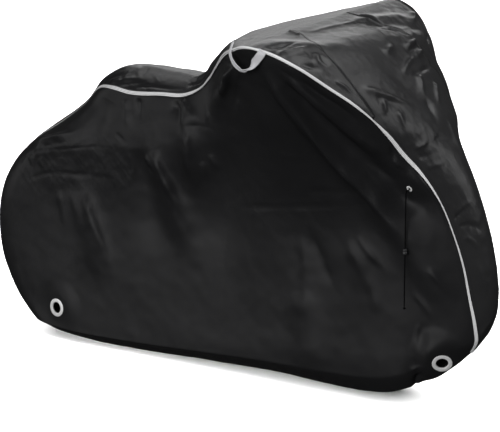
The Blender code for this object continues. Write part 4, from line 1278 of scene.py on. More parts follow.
def cloth_piece(
    name: str, grid: np.ndarray, flat: np.ndarray, crumpled: np.ndarray, turned: bool,
    thick: float = CLOTH, holes: tuple = (),
) -> bpy.types.Object:
    """Make a sheet from a grid, with its flat map, its crumple mask and its thickness.

    Args:
        name: The sheet's name.
        grid: Its outer points.
        flat: Their places on the flat cloth, in metres.
        crumpled: How crumpled the cloth is at each point.
        turned: Whether its faces are turned.
        thick: The cloth's thickness, inwards.
        holes: The centre and radius of each round hole.

    Returns:
        The sheet.
    """
    quads = grid_faces(*grid.shape[:2], turned)
    points = grid.reshape(-1, 3).copy()
    for centre, radius in holes:
        middle = points[quads].mean(axis=1)
        inside = np.linalg.norm(middle - centre, axis=1) < radius
        rim = np.intersect1d(quads[inside], quads[~inside])
        quads = quads[~inside]
        away = points[rim] - centre
        points[rim] = centre + away * (radius / np.linalg.norm(away, axis=1))[:, None]
    item = mesh_piece(name, points, quads)
    mesh = item.data
    layer = mesh.uv_layers.new(name="flat")
    corners = np.zeros(len(mesh.loops), dtype=int)
    mesh.loops.foreach_get("vertex_index", corners)
    layer.data.foreach_set("uv", flat.reshape(-1, 2)[corners].astype(np.float32).ravel())
    mask = mesh.attributes.new("crumpled", "FLOAT", "POINT")
    mask.data.foreach_set("value", crumpled.astype(np.float32).ravel())
    wall = item.modifiers.new("thickness", "SOLIDIFY")
    wall.thickness = thick
    wall.offset = -1.0
    wall.use_even_offset = False
    return item


def strip_surface(distance: np.ndarray, across: np.ndarray) -> np.ndarray:
    """Outer surface of the strip between the two seams.

    Args:
        distance: Distances along the seam.
        across: A row of places across for each, from -1 near to 1 far.

    Returns:
        The grid of points.
    """
    near = seam_points(distance, Side.NEAR)[:, None, :]
    far = seam_points(distance, Side.FAR)[:, None, :]
    row = SEAM.at(distance)
    step = 0.002
    run = unit(SEAM.at(distance + step)[:, [0, 2]] - SEAM.at(distance - step)[:, [0, 2]])
    out = np.column_stack((-run[:, 1], np.zeros(len(run)), run[:, 0]))[:, None, :]
    arch = row[:, 3, None] * (1 - np.abs(across) ** row[:, 4, None])
    arch = arch + drape_heights(strip_flat(distance, across), STRIP_DRAPES) * smooth(
        (1 - np.abs(across)) / 0.15
    )
    blend = ((across + 1) / 2)[:, :, None]
    return near * (1 - blend) + far * blend + out * arch[:, :, None]


def strip_flat(distance: np.ndarray, across: np.ndarray) -> np.ndarray:
    """The strip's flat places: along from the bar, and across from its middle."""
    half = SEAM.at(distance)[:, 1, None]
    along = np.broadcast_to((distance - BAR_KEY)[:, None], across.shape)
    return np.stack((along, across * half), axis=-1)


def wedge_line(distance: np.ndarray, side: Side) -> np.ndarray:
    """Where a wedge's seam crosses the strip, as a share of its half width."""
    share = np.clip((distance - BAR_KEY) / (SEAM_KEYS[WEDGE_END] - BAR_KEY), 0.0, 1.0)
    return np.interp(share, *zip(*WEDGE_ROWS[side.name.lower()]))


@dataclass
class Stitches:
    """A row of short stitches lying on the cloth."""

    name: str
    finish: Finish
    pitch: float = 0.0045
    length: float = 0.0031
    thick: float = 0.0005

    def build(self, rows: list) -> bpy.types.Object:
        """Lay the stitches along lines.

        Args:
            rows: Pairs of a line's points and the cloth's normals along it.

        Returns:
            One piece with every stitch.
        """
        points, faces = [], []
        for line, normals in rows:
            track = Track(np.concatenate((line, normals), axis=1))
            count = int(track.length / self.pitch)
            if count < 2:
                continue
            at = track.at((np.arange(count) + 0.5) * self.pitch)
            ahead = track.at((np.arange(count) + 0.5) * self.pitch + 0.001)
            middle, up = at[:, :3], unit(at[:, 3:6])
            run = unit(ahead[:, :3] - middle)
            beside = unit(np.cross(run, up))
            half, r = self.length / 2, self.thick / 2
            ring = [middle - run * half - up * r * 0.6, middle + run * half - up * r * 0.6]
            for angle in np.linspace(0, 2 * math.pi, 4, endpoint=False):
                ring.append(middle + beside * r * math.cos(angle) + up * r * math.sin(angle))
            first = sum(len(p) for p in points)
            points.append(np.stack(ring, axis=1).reshape(-1, 3))
            for i in range(count):
                a = first + 6 * i
                for k in range(4):
                    this, other = a + 2 + k, a + 2 + (k + 1) % 4
                    faces += [(a, other, this), (a + 1, this, other)]
        item = mesh_piece(self.name, np.concatenate(points), faces)
        return declare(item, self.finish)


PANEL_FOLDS = {
    Side.NEAR: (NEAR_DRAPES, NEAR_CREASES, NEAR_CRUMPLES),
    Side.FAR: (FAR_DRAPES, FAR_CREASES, FAR_CRUMPLES),
}


@dataclass
class SidePanel:
    """A side panel: one sheet from its tucked hem to the taped seam."""

    side: Side
    columns: int = 300
    rows: int = 160
    belly: float = 0.062
    front_belly: float = 0.026
    belly_change: tuple = (0.55, 0.35)  # share where it starts, share over which it goes on
    rear_turn: float = 0.075
    front_turn: float = 0.07
    hem_turn: float = 0.045
    top_turn: float = 0.40
    eyelet_flat: tuple = (0.038, 0.110)
    ring_flat: tuple = (0.030, 0.090)
    eyelet_cut: float = 0.0235
    ring_cut: float = 0.0065
    waves: tuple = ((0.0012, 0.110), (0.0005, 0.038))  # height and length
    crumple: tuple = (0.0011, 0.030)
    crumpled: float = 0.10  # elsewhere than in the patches
    edge_flat: tuple = (0.045, 0.016)  # for the deep folds, and for the creases
    seam_share: float = 0.6  # the upper edge's distance counts less than the ends'
    stitch_lift: float = 0.0004
    stitch_step: float = 0.01
    hem_row: int = 7
    hem_ends: int = 14

    @property
    def word(self) -> str:
        """The side's name."""
        return self.side.name.lower()

    def build(self) -> "SidePanel":
        """Make the sheet and find where its rings sit."""
        self.grid = self.patch()
        self.spots = {}
        for place, (station, height, lean) in EYELETS[self.word].items():
            centre, _ = self.surface_at(station, height)
            normal = unit(np.array(lean) * (1, self.side.value, 1))
            self.flatten(centre, normal, self.eyelet_flat)
            self.spots[place] = (centre, normal)
        holes = [(centre, self.eyelet_cut) for centre, _ in self.spots.values()]
        if self.side is Side.NEAR:
            centre, normal = self.surface_at(*CORD_RING_PLACE)
            self.flatten(centre, normal, self.ring_flat)
            self.ring_spot = self.surface_at(*CORD_RING_PLACE)
            holes.append((self.ring_spot[0], self.ring_cut))
        flat = self.flat(self.grid)
        mask = crumple_mask(flat, PANEL_FOLDS[self.side][-1], self.crumpled)
        name = "side_panel_" + self.word
        self.item = cloth_piece(
            name + "_cloth", self.grid, flat, mask, self.side is Side.FAR, holes=tuple(holes)
        )
        declare(self.item, PANEL_CLOTH, name)
        return self

    def flat(self, grid: np.ndarray) -> np.ndarray:
        """Station and height of each point."""
        return grid[..., [0, 2]] + (SUPPORT_STATION, SUPPORT_HEIGHT)

    def patch(self) -> np.ndarray:
        """The panel's grid with its drape and creases, rows from the hem up."""
        ups, alongs = shares(self.rows), shares(self.columns)
        rear = REAR_KEY * ups
        front = END_KEY + (BAR_KEY - END_KEY) * ups
        left = seam_points(rear, self.side)[:, None, :]
        right = seam_points(front, self.side)[:, None, :]
        top = seam_points(REAR_KEY + (BAR_KEY - REAR_KEY) * alongs, self.side)[None, :, :]
        bottom = hem_points(alongs, self.side)[None, :, :]
        across, up = alongs[None, :, None], ups[:, None, None]
        corners = (
            (1 - across) * (1 - up) * left[0, 0]
            + across * (1 - up) * right[0, 0]
            + (1 - across) * up * left[-1, 0]
            + across * up * right[-1, 0]
        )
        grid = (1 - up) * bottom + up * top + (1 - across) * left + across * right - corners
        rear_bulge = np.sqrt(1 - (1 - np.clip(across / self.rear_turn, 0, 1)) ** 2)
        front_bulge = 1 - (1 - np.clip((1 - across) / self.front_turn, 0, 1)) ** 2
        low = np.clip(up / self.hem_turn, 0, 1)
        high = 1 - (1 - np.clip((1 - up) / self.top_turn, 0, 1)) ** 2
        first, length = self.belly_change
        belly = self.belly + (self.front_belly - self.belly) * smooth((across - first) / length)
        bulge = self.side.value * belly * rear_bulge * front_bulge * low * high
        grid[:, :, 1] += bulge[:, :, 0]

        flat = self.flat(grid)
        inside = np.minimum(np.minimum(across, 1 - across), (1 - up) * self.seam_share)
        inside = inside[:, :, 0]
        drapes, creases, crumples = PANEL_FOLDS[self.side]
        rise = drape_heights(flat, drapes)
        turned = self.side is Side.FAR
        deep, shallow = self.edge_flat
        grid = grid + grid_normals(grid, turned) * (rise * smooth(inside / deep))[..., None]
        fine = lay_creases(grid, flat, turned, creases)
        for height, length in self.waves:
            fine += height * rough_heights(grid, length, False)
        mask = crumple_mask(flat, crumples, 0.0)
        height, length = self.crumple
        fine += height * mask * rough_heights(grid, length, True)
        edge = smooth(np.minimum(inside / shallow, 1.0))
        return grid + grid_normals(grid, turned) * (fine * edge)[..., None]

    def surface_at(self, station: float, height: float, tree: BVHTree = None) -> tuple:
        """Find a point of the panel.

        Args:
            station: Its station.
            height: Its height.
            tree: The panel's tree, if it is at hand.

        Returns:
            The point and the outward normal there, or two Nones beside the panel.
        """
        side = self.side.value
        start = Vector((station - SUPPORT_STATION, side, height - SUPPORT_HEIGHT))
        tree = tree or tree_of(self.grid)
        spot, normal, _, _ = tree.ray_cast(start, Vector((0, -side, 0)))
        if spot is None:
            return None, None
        return np.array(spot), np.array(normal) * math.copysign(1.0, normal.y * side)

    def flatten(self, centre: np.ndarray, normal: np.ndarray, radii: tuple) -> None:
        """Make the grid flat around a point, within the first radius."""
        offset = self.grid - centre
        above = offset @ normal
        away = np.linalg.norm(offset - above[..., None] * normal, axis=-1)
        share = 1 - smooth((away - radii[0]) / (radii[1] - radii[0]))
        share[:, [0, -1]] = share[-1] = 0.0
        near = np.abs(above) < radii[1]
        self.grid = self.grid - (share * above * near)[..., None] * normal

    def line_on(self, points: tuple) -> tuple:
        """Lay a line of stitches on the panel.

        Args:
            points: Its stations and heights.

        Returns:
            The line's points and the normals there.
        """
        track = Track(points)
        tree = tree_of(self.grid)
        spots, normals = [], []
        count = int(track.length / self.stitch_step)
        for station, height in track.at(np.linspace(0, track.length, count)):
            spot, normal = self.surface_at(station, height, tree)
            if spot is None:
                continue
            spots.append(spot + normal * self.stitch_lift)
            normals.append(normal)
        return np.array(spots), np.array(normals)

    def stitch(self) -> None:
        """Sew the cord casings and the hem."""
        rows = [self.line_on(row) for row in CASING_ROWS.values()]
        hem = self.flat(self.grid)[self.hem_row, self.hem_ends : -self.hem_ends : 6]
        rows.append(self.line_on(tuple(map(tuple, hem))))
        Stitches("casing_stitches_" + self.word, BLACK_THREAD).build(rows)


@dataclass
class Strip:
    """A sheet of the band between the seams: the top strip, the shield or a wedge."""

    name: str
    finish: Finish
    distances: np.ndarray
    columns: int
    creases: dict
    crumples: dict
    base: float
    side: Side = None
    rim: tuple = (0.009, 0.006, 0.004, 0.0025, 0.0012, 0.0)  # closer columns by a seam
    waves: tuple = (0.0008, 0.080)  # height and length
    crumple: tuple = (0.0016, 0.034)
    edge_flat: tuple = (0.020, 0.010)  # beside the tape, and beside a wedge's seam
    groove: tuple = (0.0014, 0.0026, 0.97)  # a wedge seam's: depth, width, reach across

    def build(self) -> "Strip":
        """Make the sheet."""
        half = SEAM.at(self.distances)[:, 1, None]
        rim = np.array(self.rim) / half
        if self.side is None:
            low, high = -self.limit(Side.NEAR)[:, None], self.limit(Side.FAR)[:, None]
            even = np.linspace(0, 1, self.columns + 1)[None, 1:-1]
            first, last = low + rim[:, ::-1], high - rim
            even = first[:, -1:] * (1 - even) + last[:, :1] * even
            across = np.concatenate((first, even, last), axis=1)
            beside = np.minimum(across - low, high - across) * half
        else:
            inner = self.limit(self.side)[:, None]
            even = np.linspace(0, 1, self.columns + 1)[None, 1:]
            first = inner + rim[:, ::-1]
            even = first[:, -1:] * (1 - even) + even
            across = self.side.value * np.concatenate((first, even), axis=1)
            beside = (np.abs(across) - inner) * half
        grid = strip_surface(self.distances, across)
        turned = self.side is not Side.NEAR
        flat = strip_flat(self.distances, across)
        mask = crumple_mask(grid, self.crumples, self.base)
        fine = lay_creases(grid, flat, turned, self.creases)
        height, length = self.waves
        fine += height * rough_heights(grid, length, False)
        height, length = self.crumple
        fine += height * mask * rough_heights(grid, length, True)
        by_tape, by_seam = self.edge_flat
        edge = smooth((1 - np.abs(across)) * half / by_tape) * smooth(beside / by_seam)
        depth, width, reach = self.groove
        groove = np.exp(-((beside / width) ** 2)) * (np.abs(across) < reach)
        fine = fine * edge - depth * groove
        grid = grid + grid_normals(grid, turned) * fine[..., None]
        self.item = cloth_piece(self.name + "_cloth", grid, flat, mask, turned)
        declare(self.item, self.finish, self.name)
        return self

    def limit(self, side: Side) -> np.ndarray:
        """How far across the sheet or its seam with a wedge reaches, along it."""
        if self.name == "top_strip":
            return np.ones(len(self.distances))
        beyond = self.distances > SEAM_KEYS[WEDGE_END]
        return np.where(beyond & (self.side is None), 1.0, wedge_line(self.distances, side))


@dataclass
class SeamTape:
    """Ribbed tape folded over a seam, with its own stitches and a row on the strip."""

    panel: SidePanel
    half: float = 0.0095
    lift: float = 0.0010
    thick: float = 0.0009
    step: float = 0.005
    soft: float = 0.0022
    across: int = 14
    lean_at: float = 0.0085  # where the cloth's way beside the seam is read
    evened: float = 0.012  # over this length of seam
    rib: float = 0.00025
    ripple: float = 0.0004
    uneven: tuple = (0.04, 0.05)  # share of the width, and length along the seam
    stitch_columns: tuple = (3, -4)
    outer_stitches: float = 0.0042  # beyond the tape's edge

    def directions(self, distance: np.ndarray, run: np.ndarray) -> tuple:
        """Ways from the seam into the panel and into the strip, square to the seam."""
        side = self.panel.side
        grid = self.panel.grid
        ups, alongs = shares(self.panel.rows), shares(self.panel.columns)
        rear = REAR_KEY * ups
        front = END_KEY + (BAR_KEY - END_KEY) * ups
        top = REAR_KEY + (BAR_KEY - REAR_KEY) * alongs
        found, keys = [], []
        for edge, inner, key in (
            (grid[:, 0], grid[:, 1:9], rear),
            (grid[-1, :], grid[-9:-1, :].transpose(1, 0, 2)[:, ::-1], top),
            (grid[::-1, -1], grid[::-1, -9:-1][:, ::-1], front[::-1]),
        ):
            away = np.linalg.norm(inner - edge[:, None], axis=2)
            pick = np.argmin(np.abs(away - self.lean_at), axis=1)
            found.append(inner[np.arange(len(edge)), pick] - edge)
            keys.append(key)
        keys = np.concatenate(keys)
        found = np.concatenate(found)
        order = np.argsort(keys, kind="stable")
        keys, found = keys[order], found[order]
        seam_run = np.stack([np.interp(keys, distance, run[:, i]) for i in range(3)], axis=1)
        found = found - seam_run * np.sum(found * seam_run, axis=1)[:, None]
        weight = np.exp(-(((distance[:, None] - keys[None, :]) / self.evened) ** 2)) + 1e-9
        into_panel = unit(weight @ found)
        inside = 1 - self.lean_at / SEAM.at(distance)[:, 1]
        strip = strip_surface(distance, side.value * inside[:, None])[:, 0]
        into_strip = strip - seam_points(distance, side)
        into_strip = into_strip - run * np.sum(into_strip * run, axis=1)[:, None]
        return into_panel, unit(into_strip)

    def build(self) -> "SeamTape":
        """Make the tape and its stitches."""
        side = self.panel.side
        distance = np.linspace(0.002, END_KEY - 0.002, int(END_KEY / self.step))
        seam = seam_points(distance, side)
        run = unit(np.gradient(seam, axis=0))
        panel_in, strip_in = self.directions(distance, run)
        on_panel = unit(np.cross(panel_in, run)) * -side.value
        on_strip = unit(np.cross(run, strip_in)) * -side.value
        share, length = self.uneven
        wobble = np.array([noise.noise(Vector((d / length, side.value, 0))) for d in distance])
        keys = [SEAM_KEYS[place] for place in TAPE_ROWS]
        shown = np.interp(distance, keys, list(TAPE_ROWS.values()))
        half = (self.half * (1 + share * wobble) * shown)[:, None]
        across = np.linspace(-1, 1, self.across + 1)
        w = across[None, :] * half
        to_panel = (np.sqrt(w * w + self.soft**2) - w) / 2 - self.soft / 2
        to_strip = (np.sqrt(w * w + self.soft**2) + w) / 2 - self.soft / 2
        share = smooth((w / self.half + 0.35) / 0.7)[..., None]
        normal = unit(on_panel[:, None] * (1 - share) + on_strip[:, None] * share)
        rib = self.rib * np.cos(across * math.pi * 3)[None, :, None]
        ripple = self.ripple * wobble[:, None, None] * np.abs(across)[None, :, None]
        grid = (
            seam[:, None]
            + panel_in[:, None] * to_panel[..., None]
            + strip_in[:, None] * to_strip[..., None]
            + normal * (self.lift + self.thick + rib + ripple)
        )
        flat = np.stack(
            np.broadcast_arrays(distance[:, None], across[None, :] * self.half), axis=-1
        )
        turned = side is Side.NEAR
        name = "tape_" + self.panel.word
        mask = np.zeros(grid.shape[:2])
        self.item = cloth_piece(name + "_ribbed", grid, flat, mask, turned, self.thick)
        declare(self.item, TAPE, name)
        rows = [
            (grid[:, i] + normal[:, i] * 0.0002, normal[:, i]) for i in self.stitch_columns
        ]
        self.stitches = Stitches(
            "tape_stitches_" + self.panel.word, PALE_THREAD, 0.0052, 0.0034, 0.0005
        ).build(rows)
        beside = seam + strip_in * (self.half + self.outer_stitches) + on_strip * 0.0004
        front = distance > SEAM_KEYS["brow"]
        Stitches(
            "top_stitches_" + self.panel.word, BLACK_THREAD, 0.0060, 0.0036, 0.0007
        ).build([(beside[front], on_strip[front])])
        return self


@dataclass
class WedgeSeam:
    """Dark stitching on both sides of the seam between a wedge and the shield."""

    side: Side
    gap: float = 0.0045
    lift: float = 0.0012
    beside: float = 0.004  # the cloth on both sides that gives the normals
    ends: tuple = (0.004, 0.020)
    steps: int = 120

    def build(self) -> bpy.types.Object:
        """Lay the two rows of stitches."""
        first, last = self.ends
        distance = np.linspace(BAR_KEY + first, SEAM_KEYS[WEDGE_END] - last, self.steps)
        half = SEAM.at(distance)[:, 1]
        place = wedge_line(distance, self.side)
        beside = np.array((-self.beside, 0, self.beside)) / half[:, None]
        rows = []
        for gap in (-self.gap, self.gap):
            around = (place + gap / half)[:, None] + beside
            grid = strip_surface(distance, self.side.value * around)
            up = grid_normals(grid, False)[:, 1]
            up = up * np.where(up[:, 2:] < 0, -1.0, 1.0)
            rows.append((grid[:, 1] + up * self.lift, up))
        name = "wedge_stitches_" + self.side.name.lower()
        return Stitches(name, BLACK_THREAD, 0.0068, 0.0044, 0.0014).build(rows)


@dataclass
class HemTuck:
    """The gathered end of the hem, drawn together under a wheel."""

    name: str
    first: float
    last: float
    rows: int = 26
    across: int = 30
    lift: float = 0.006
    slack: float = 0.012
    gather: float = 0.0014
    turns: float = 40.0
    uneven: tuple = (0.05, 2.5)  # length, and how far it shifts the gathers
    ends: tuple = (0.02, 0.98)
    crumpled: float = 0.6

    def build(self) -> bpy.types.Object:
        """Make the cloth between the two hems."""
        share = np.linspace(self.first, self.last, self.rows + 1)
        near, far = hem_points(share, Side.NEAR)[:, None], hem_points(share, Side.FAR)[:, None]
        blend = np.linspace(*self.ends, self.across + 1)[None, :, None]
        grid = near * (1 - blend) + far * blend
        grid[:, :, 2] += self.lift + self.slack * np.sin(blend[..., 0] * math.pi)
        length, shift = self.uneven
        shift = shift * rough_heights(grid, length, False)
        gathers = np.sin(blend[..., 0] * self.turns + shift)
        grid[:, :, 2] += self.gather * gathers * np.sin(blend[..., 0] * math.pi)
        flat = grid[..., :2].copy()
        mask = np.full(grid.shape[:2], self.crumpled)
        item = cloth_piece(self.name, grid, flat, mask, False)
        return declare(item, PANEL_CLOTH)


@dataclass
class StrapLoop:
    """A webbing loop sewn over the near seam at the end of the bar."""

    width: float = 0.025
    thick: float = 0.0016
    steps: int = 150
    across: int = 20
    rib: float = 0.00016
    tacks: tuple = (4, 8, -8, -4)  # steps from the loop's ends

    def build(self) -> "StrapLoop":
        """Make the webbing and its bar tacks."""
        track = Track(LOOP_ROWS)
        at = track.at(np.linspace(0, track.length, self.steps + 1))
        middle = in_frame(at[:, :3])
        run = unit(np.gradient(middle, axis=0))
        wide = at[:, 3:6]
        wide = unit(wide - run * np.sum(wide * run, axis=1)[:, None])
        face = np.cross(run, wide)
        across = np.linspace(-1, 1, self.across + 1)
        rib = self.rib * np.cos(across * math.pi * 6)
        grid = (
            middle[:, None]
            + wide[:, None] * (across * self.width / 2)[None, :, None]
            + face[:, None] * (self.thick / 2 + rib)[None, :, None]
        )
        along = np.linspace(0, track.length, self.steps + 1)
        flat = np.stack(
            np.broadcast_arrays(along[:, None], across[None, :] * self.width / 2), axis=-1
        )
        mask = np.zeros(grid.shape[:2])
        self.item = cloth_piece("strap_loop_webbing", grid, flat, mask, False, self.thick)
        declare(self.item, WEBBING, "strap_loop")
        self.length = track.length
        rows = []
        for tack in self.tacks:
            first = tack % self.steps
            line = grid[first, 2:-2] + face[first] * 0.0003
            rows.append((line, np.repeat(face[first][None], len(line), axis=0)))
        self.stitches = Stitches("strap_tacks", PALE_THREAD, 0.0026, 0.0021, 0.0005).build(rows)
        return self


def only(item: bpy.types.Object) -> None:
    """Select one object and make it active."""
    bpy.ops.object.select_all(action="DESELECT")
    item.select_set(True)
    bpy.context.view_layer.objects.active = item


def turned_piece(name: str, profile: tuple, steps: int) -> bpy.types.Object:
    """Turn a closed section round the Z axis.

    Args:
        name: The piece's name.
        profile: The section's points: radius and height.
        steps: Steps in the round.

    Returns:
        The piece, at the origin.
    """
    bpy.ops.object.select_all(action="DESELECT")
    bpy.ops.mesh.primitive_circle_add(vertices=len(profile), radius=0.007, location=(0, 0, 0))
    item = bpy.context.object
    item.name = name
    for vertex, (r, z) in zip(item.data.vertices, profile):
        vertex.co = (r, 0.0, z)
    only(item)
    bpy.ops.object.mode_set(mode="EDIT")
    bpy.ops.mesh.select_all(action="SELECT")
    bpy.ops.mesh.spin(steps=steps, angle=2 * math.pi, center=(0, 0, 0), axis=(0, 0, 1))
    bpy.ops.mesh.select_all(action="SELECT")
    bpy.ops.mesh.remove_doubles(threshold=1e-6)
    bpy.ops.mesh.normals_make_consistent(inside=False)
    bpy.ops.object.mode_set(mode="OBJECT")
    return item


@dataclass
class PressedRing:
    """A ring pressed into the cloth: a rolled front flange, a back washer and a barrel."""

    name: str
    centre: np.ndarray
    normal: np.ndarray
    radius: float
    hole: float
    flange: float
    node: str

    def build(self) -> bpy.types.Object:
        """Turn the ring's section round its axis and place it."""
        face, hole, edge, roll = CLOTH / 2 + 0.0010, self.hole, self.radius, self.flange
        section = (
            (hole, -face - roll * 0.5),
            (hole + roll * 0.1, face + roll * 0.55),
            (hole + roll * 0.55, face + roll * 1.0),
            ((hole + edge) / 2, face + roll * 0.80),
            (edge - roll * 0.5, face + roll * 0.55),
            (edge, face + roll * 0.12),
            (edge - roll * 0.15, face - roll * 0.25),
            (hole + roll * 1.6, face - roll * 0.15),
            (hole + roll * 1.5, -face + roll * 0.1),
            (edge - roll * 0.3, -face + roll * 0.05),
            (edge - roll * 0.3, -face - roll * 0.5),
            (hole + roll * 0.6, -face - roll * 0.9),
        )
        item = turned_piece(self.name, section, 64)
        turn = Vector((0, 0, 1)).rotation_difference(Vector(self.normal)).to_matrix().to_4x4()
        item.data.transform(
            Matrix.Translation(Vector(self.centre) - Vector(self.normal) * CLOTH / 2) @ turn
        )
        round_off = item.modifiers.new("rounding", "SUBSURF")
        round_off.levels = round_off.render_levels = 1
        bpy.ops.object.modifier_apply(modifier=round_off.name)
        item.data.shade_smooth()
        return declare(item, RING_METAL, self.node)


@dataclass
class DrawCord:
    """The hanging draw cord with its lock and end knot."""

    start: np.ndarray
    normal: np.ndarray
    bulge: float
    drop: float = 0.365
    lock_drop: float = 0.193
    clearance: float = 0.0085
    steps_out: tuple = (0.0045, 0.009, 0.015)  # from the ring to the hanging part
    sag: float = 0.002
    falls: tuple = (0.009, 0.022, 0.10, 0.20, 0.30)  # down the hanging part
    points: int = 40

    def build(self) -> "DrawCord":
        """Make the cord, its lock and its knot."""
        through, clear, over = self.steps_out
        hang = np.array(
            (self.start[0] + self.normal[0] * over, self.bulge - self.clearance, self.start[2])
        )
        out = self.start + self.normal * clear
        up = np.array((0.0, 0.0, 1.0))
        track = Track([
            self.start,
            self.start + self.normal * through,
            out,
            (out * 0.35 + hang * 0.65) - up * self.sag,
            *[hang - up * fall for fall in (*self.falls, self.drop)],
        ])
        curve = bpy.data.curves.new("draw_cord_braid", "CURVE")
        curve.dimensions = "3D"
        curve.bevel_depth = CORD / 2
        curve.bevel_resolution = 5
        curve.use_fill_caps = True
        spline = curve.splines.new("POLY")
        spline.points.add(self.points - 1)
        spots = track.at(np.linspace(0, track.length, self.points))
        for point, spot in zip(spline.points, spots):
            point.co = (*spot[:3], 1.0)
        self.item = bpy.data.objects.new("draw_cord_braid", curve)
        bpy.context.scene.collection.objects.link(self.item)
        declare(self.item, BLACK_CORD, "draw_cord")
        self.length = track.length
        self.lock = self.build_lock(hang - up * self.lock_drop)
        self.knot = self.build_knot(hang - up * self.drop)
        return self

    def build_lock(self, centre: np.ndarray) -> bpy.types.Object:
        """Make the cord lock, a small barrel with a bore and a push button."""
        profile = (
            (0.0024, -0.0090), (0.0024, 0.0090), (0.0046, 0.0090), (0.0060, 0.0080),
            (0.0067, 0.0058), (0.0067, 0.0030), (0.0060, 0.0024), (0.0060, 0.0012),
            (0.0070, 0.0006), (0.0072, -0.0050), (0.0066, -0.0078), (0.0050, -0.0090),
        )
        item = turned_piece("cord_lock_barrel", profile, 40)
        item.data.transform(Matrix.Translation(Vector(centre)))
        item.data.shade_smooth()
        return declare(item, LOCK_PLASTIC, "cord_lock")

    def build_knot(self, top: np.ndarray) -> bpy.types.Object:
        """Tie the knot: the cord passes over and under itself."""
        turns = np.linspace(0, 2 * math.pi, 72, endpoint=False)
        size, thick, middle = 0.0013, 0.0018, 0.0062  # middle is below the cord's end
        line = np.column_stack(
            (
                size * (np.sin(turns) + 1.55 * np.sin(2 * turns)),
                size * (np.cos(turns) - 1.55 * np.cos(2 * turns)),
                size * 1.25 * -np.sin(3 * turns) - middle,
            )
        ) + top
        run = unit(np.roll(line, -1, axis=0) - np.roll(line, 1, axis=0))
        out = unit(line - (top - np.array((0, 0, middle))))
        beside = unit(np.cross(run, out))
        out = np.cross(beside, run)
        angles = np.linspace(0, 2 * math.pi, 12, endpoint=False)
        tube = (
            line[:, None]
            + out[:, None] * (thick * np.cos(angles))[None, :, None]
            + beside[:, None] * (thick * np.sin(angles))[None, :, None]
        )
        quads = grid_faces(len(line) + 1, len(angles), True, True) % (len(line) * len(angles))
        item = mesh_piece("cord_knot_tied", tube, quads)
        only(item)
        bpy.ops.object.mode_set(mode="EDIT")
        bpy.ops.mesh.select_all(action="SELECT")
        bpy.ops.mesh.normals_make_consistent(inside=False)
        bpy.ops.object.mode_set(mode="OBJECT")
        return declare(item, BLACK_CORD, "cord_knot")


LIGHTS = {
    # name: (place, aim, width, height, power)
    "overhead": ((1.2, 0.8, 3.0), (0.1, 0.0, -0.4), 3.0, 2.4, 110.0),
    "back": ((-2.4, 3.6, 1.2), (-0.2, 0.0, -0.2), 3.2, 1.2, 33.0),
    "right": ((4.2, 1.2, 2.2), (0.3, 0.0, -0.2), 2.6, 2.0, 80.0),
    "front": ((1.2, -6.6, 1.3), (-0.2, 0.0, -0.6), 4.5, 2.0, 430.0),
    "upper sheen": ((-1.9, 0.5, 2.1), (-0.5, 0.0, -0.1), 1.4, 1.2, 26.0),
    "left sheen": ((-4.6, -1.4, -0.1), (-0.4, 0.0, -0.6), 2.4, 1.8, 13.0),
    "low sheen": ((-2.8, -4.0, -0.85), (-0.3, 0.0, -0.7), 4.0, 0.7, 24.0),
    "front sheen": ((-1.5, -6.5, 0.1), (-0.2, 0.0, -0.6), 4.5, 2.6, 120.0),
}


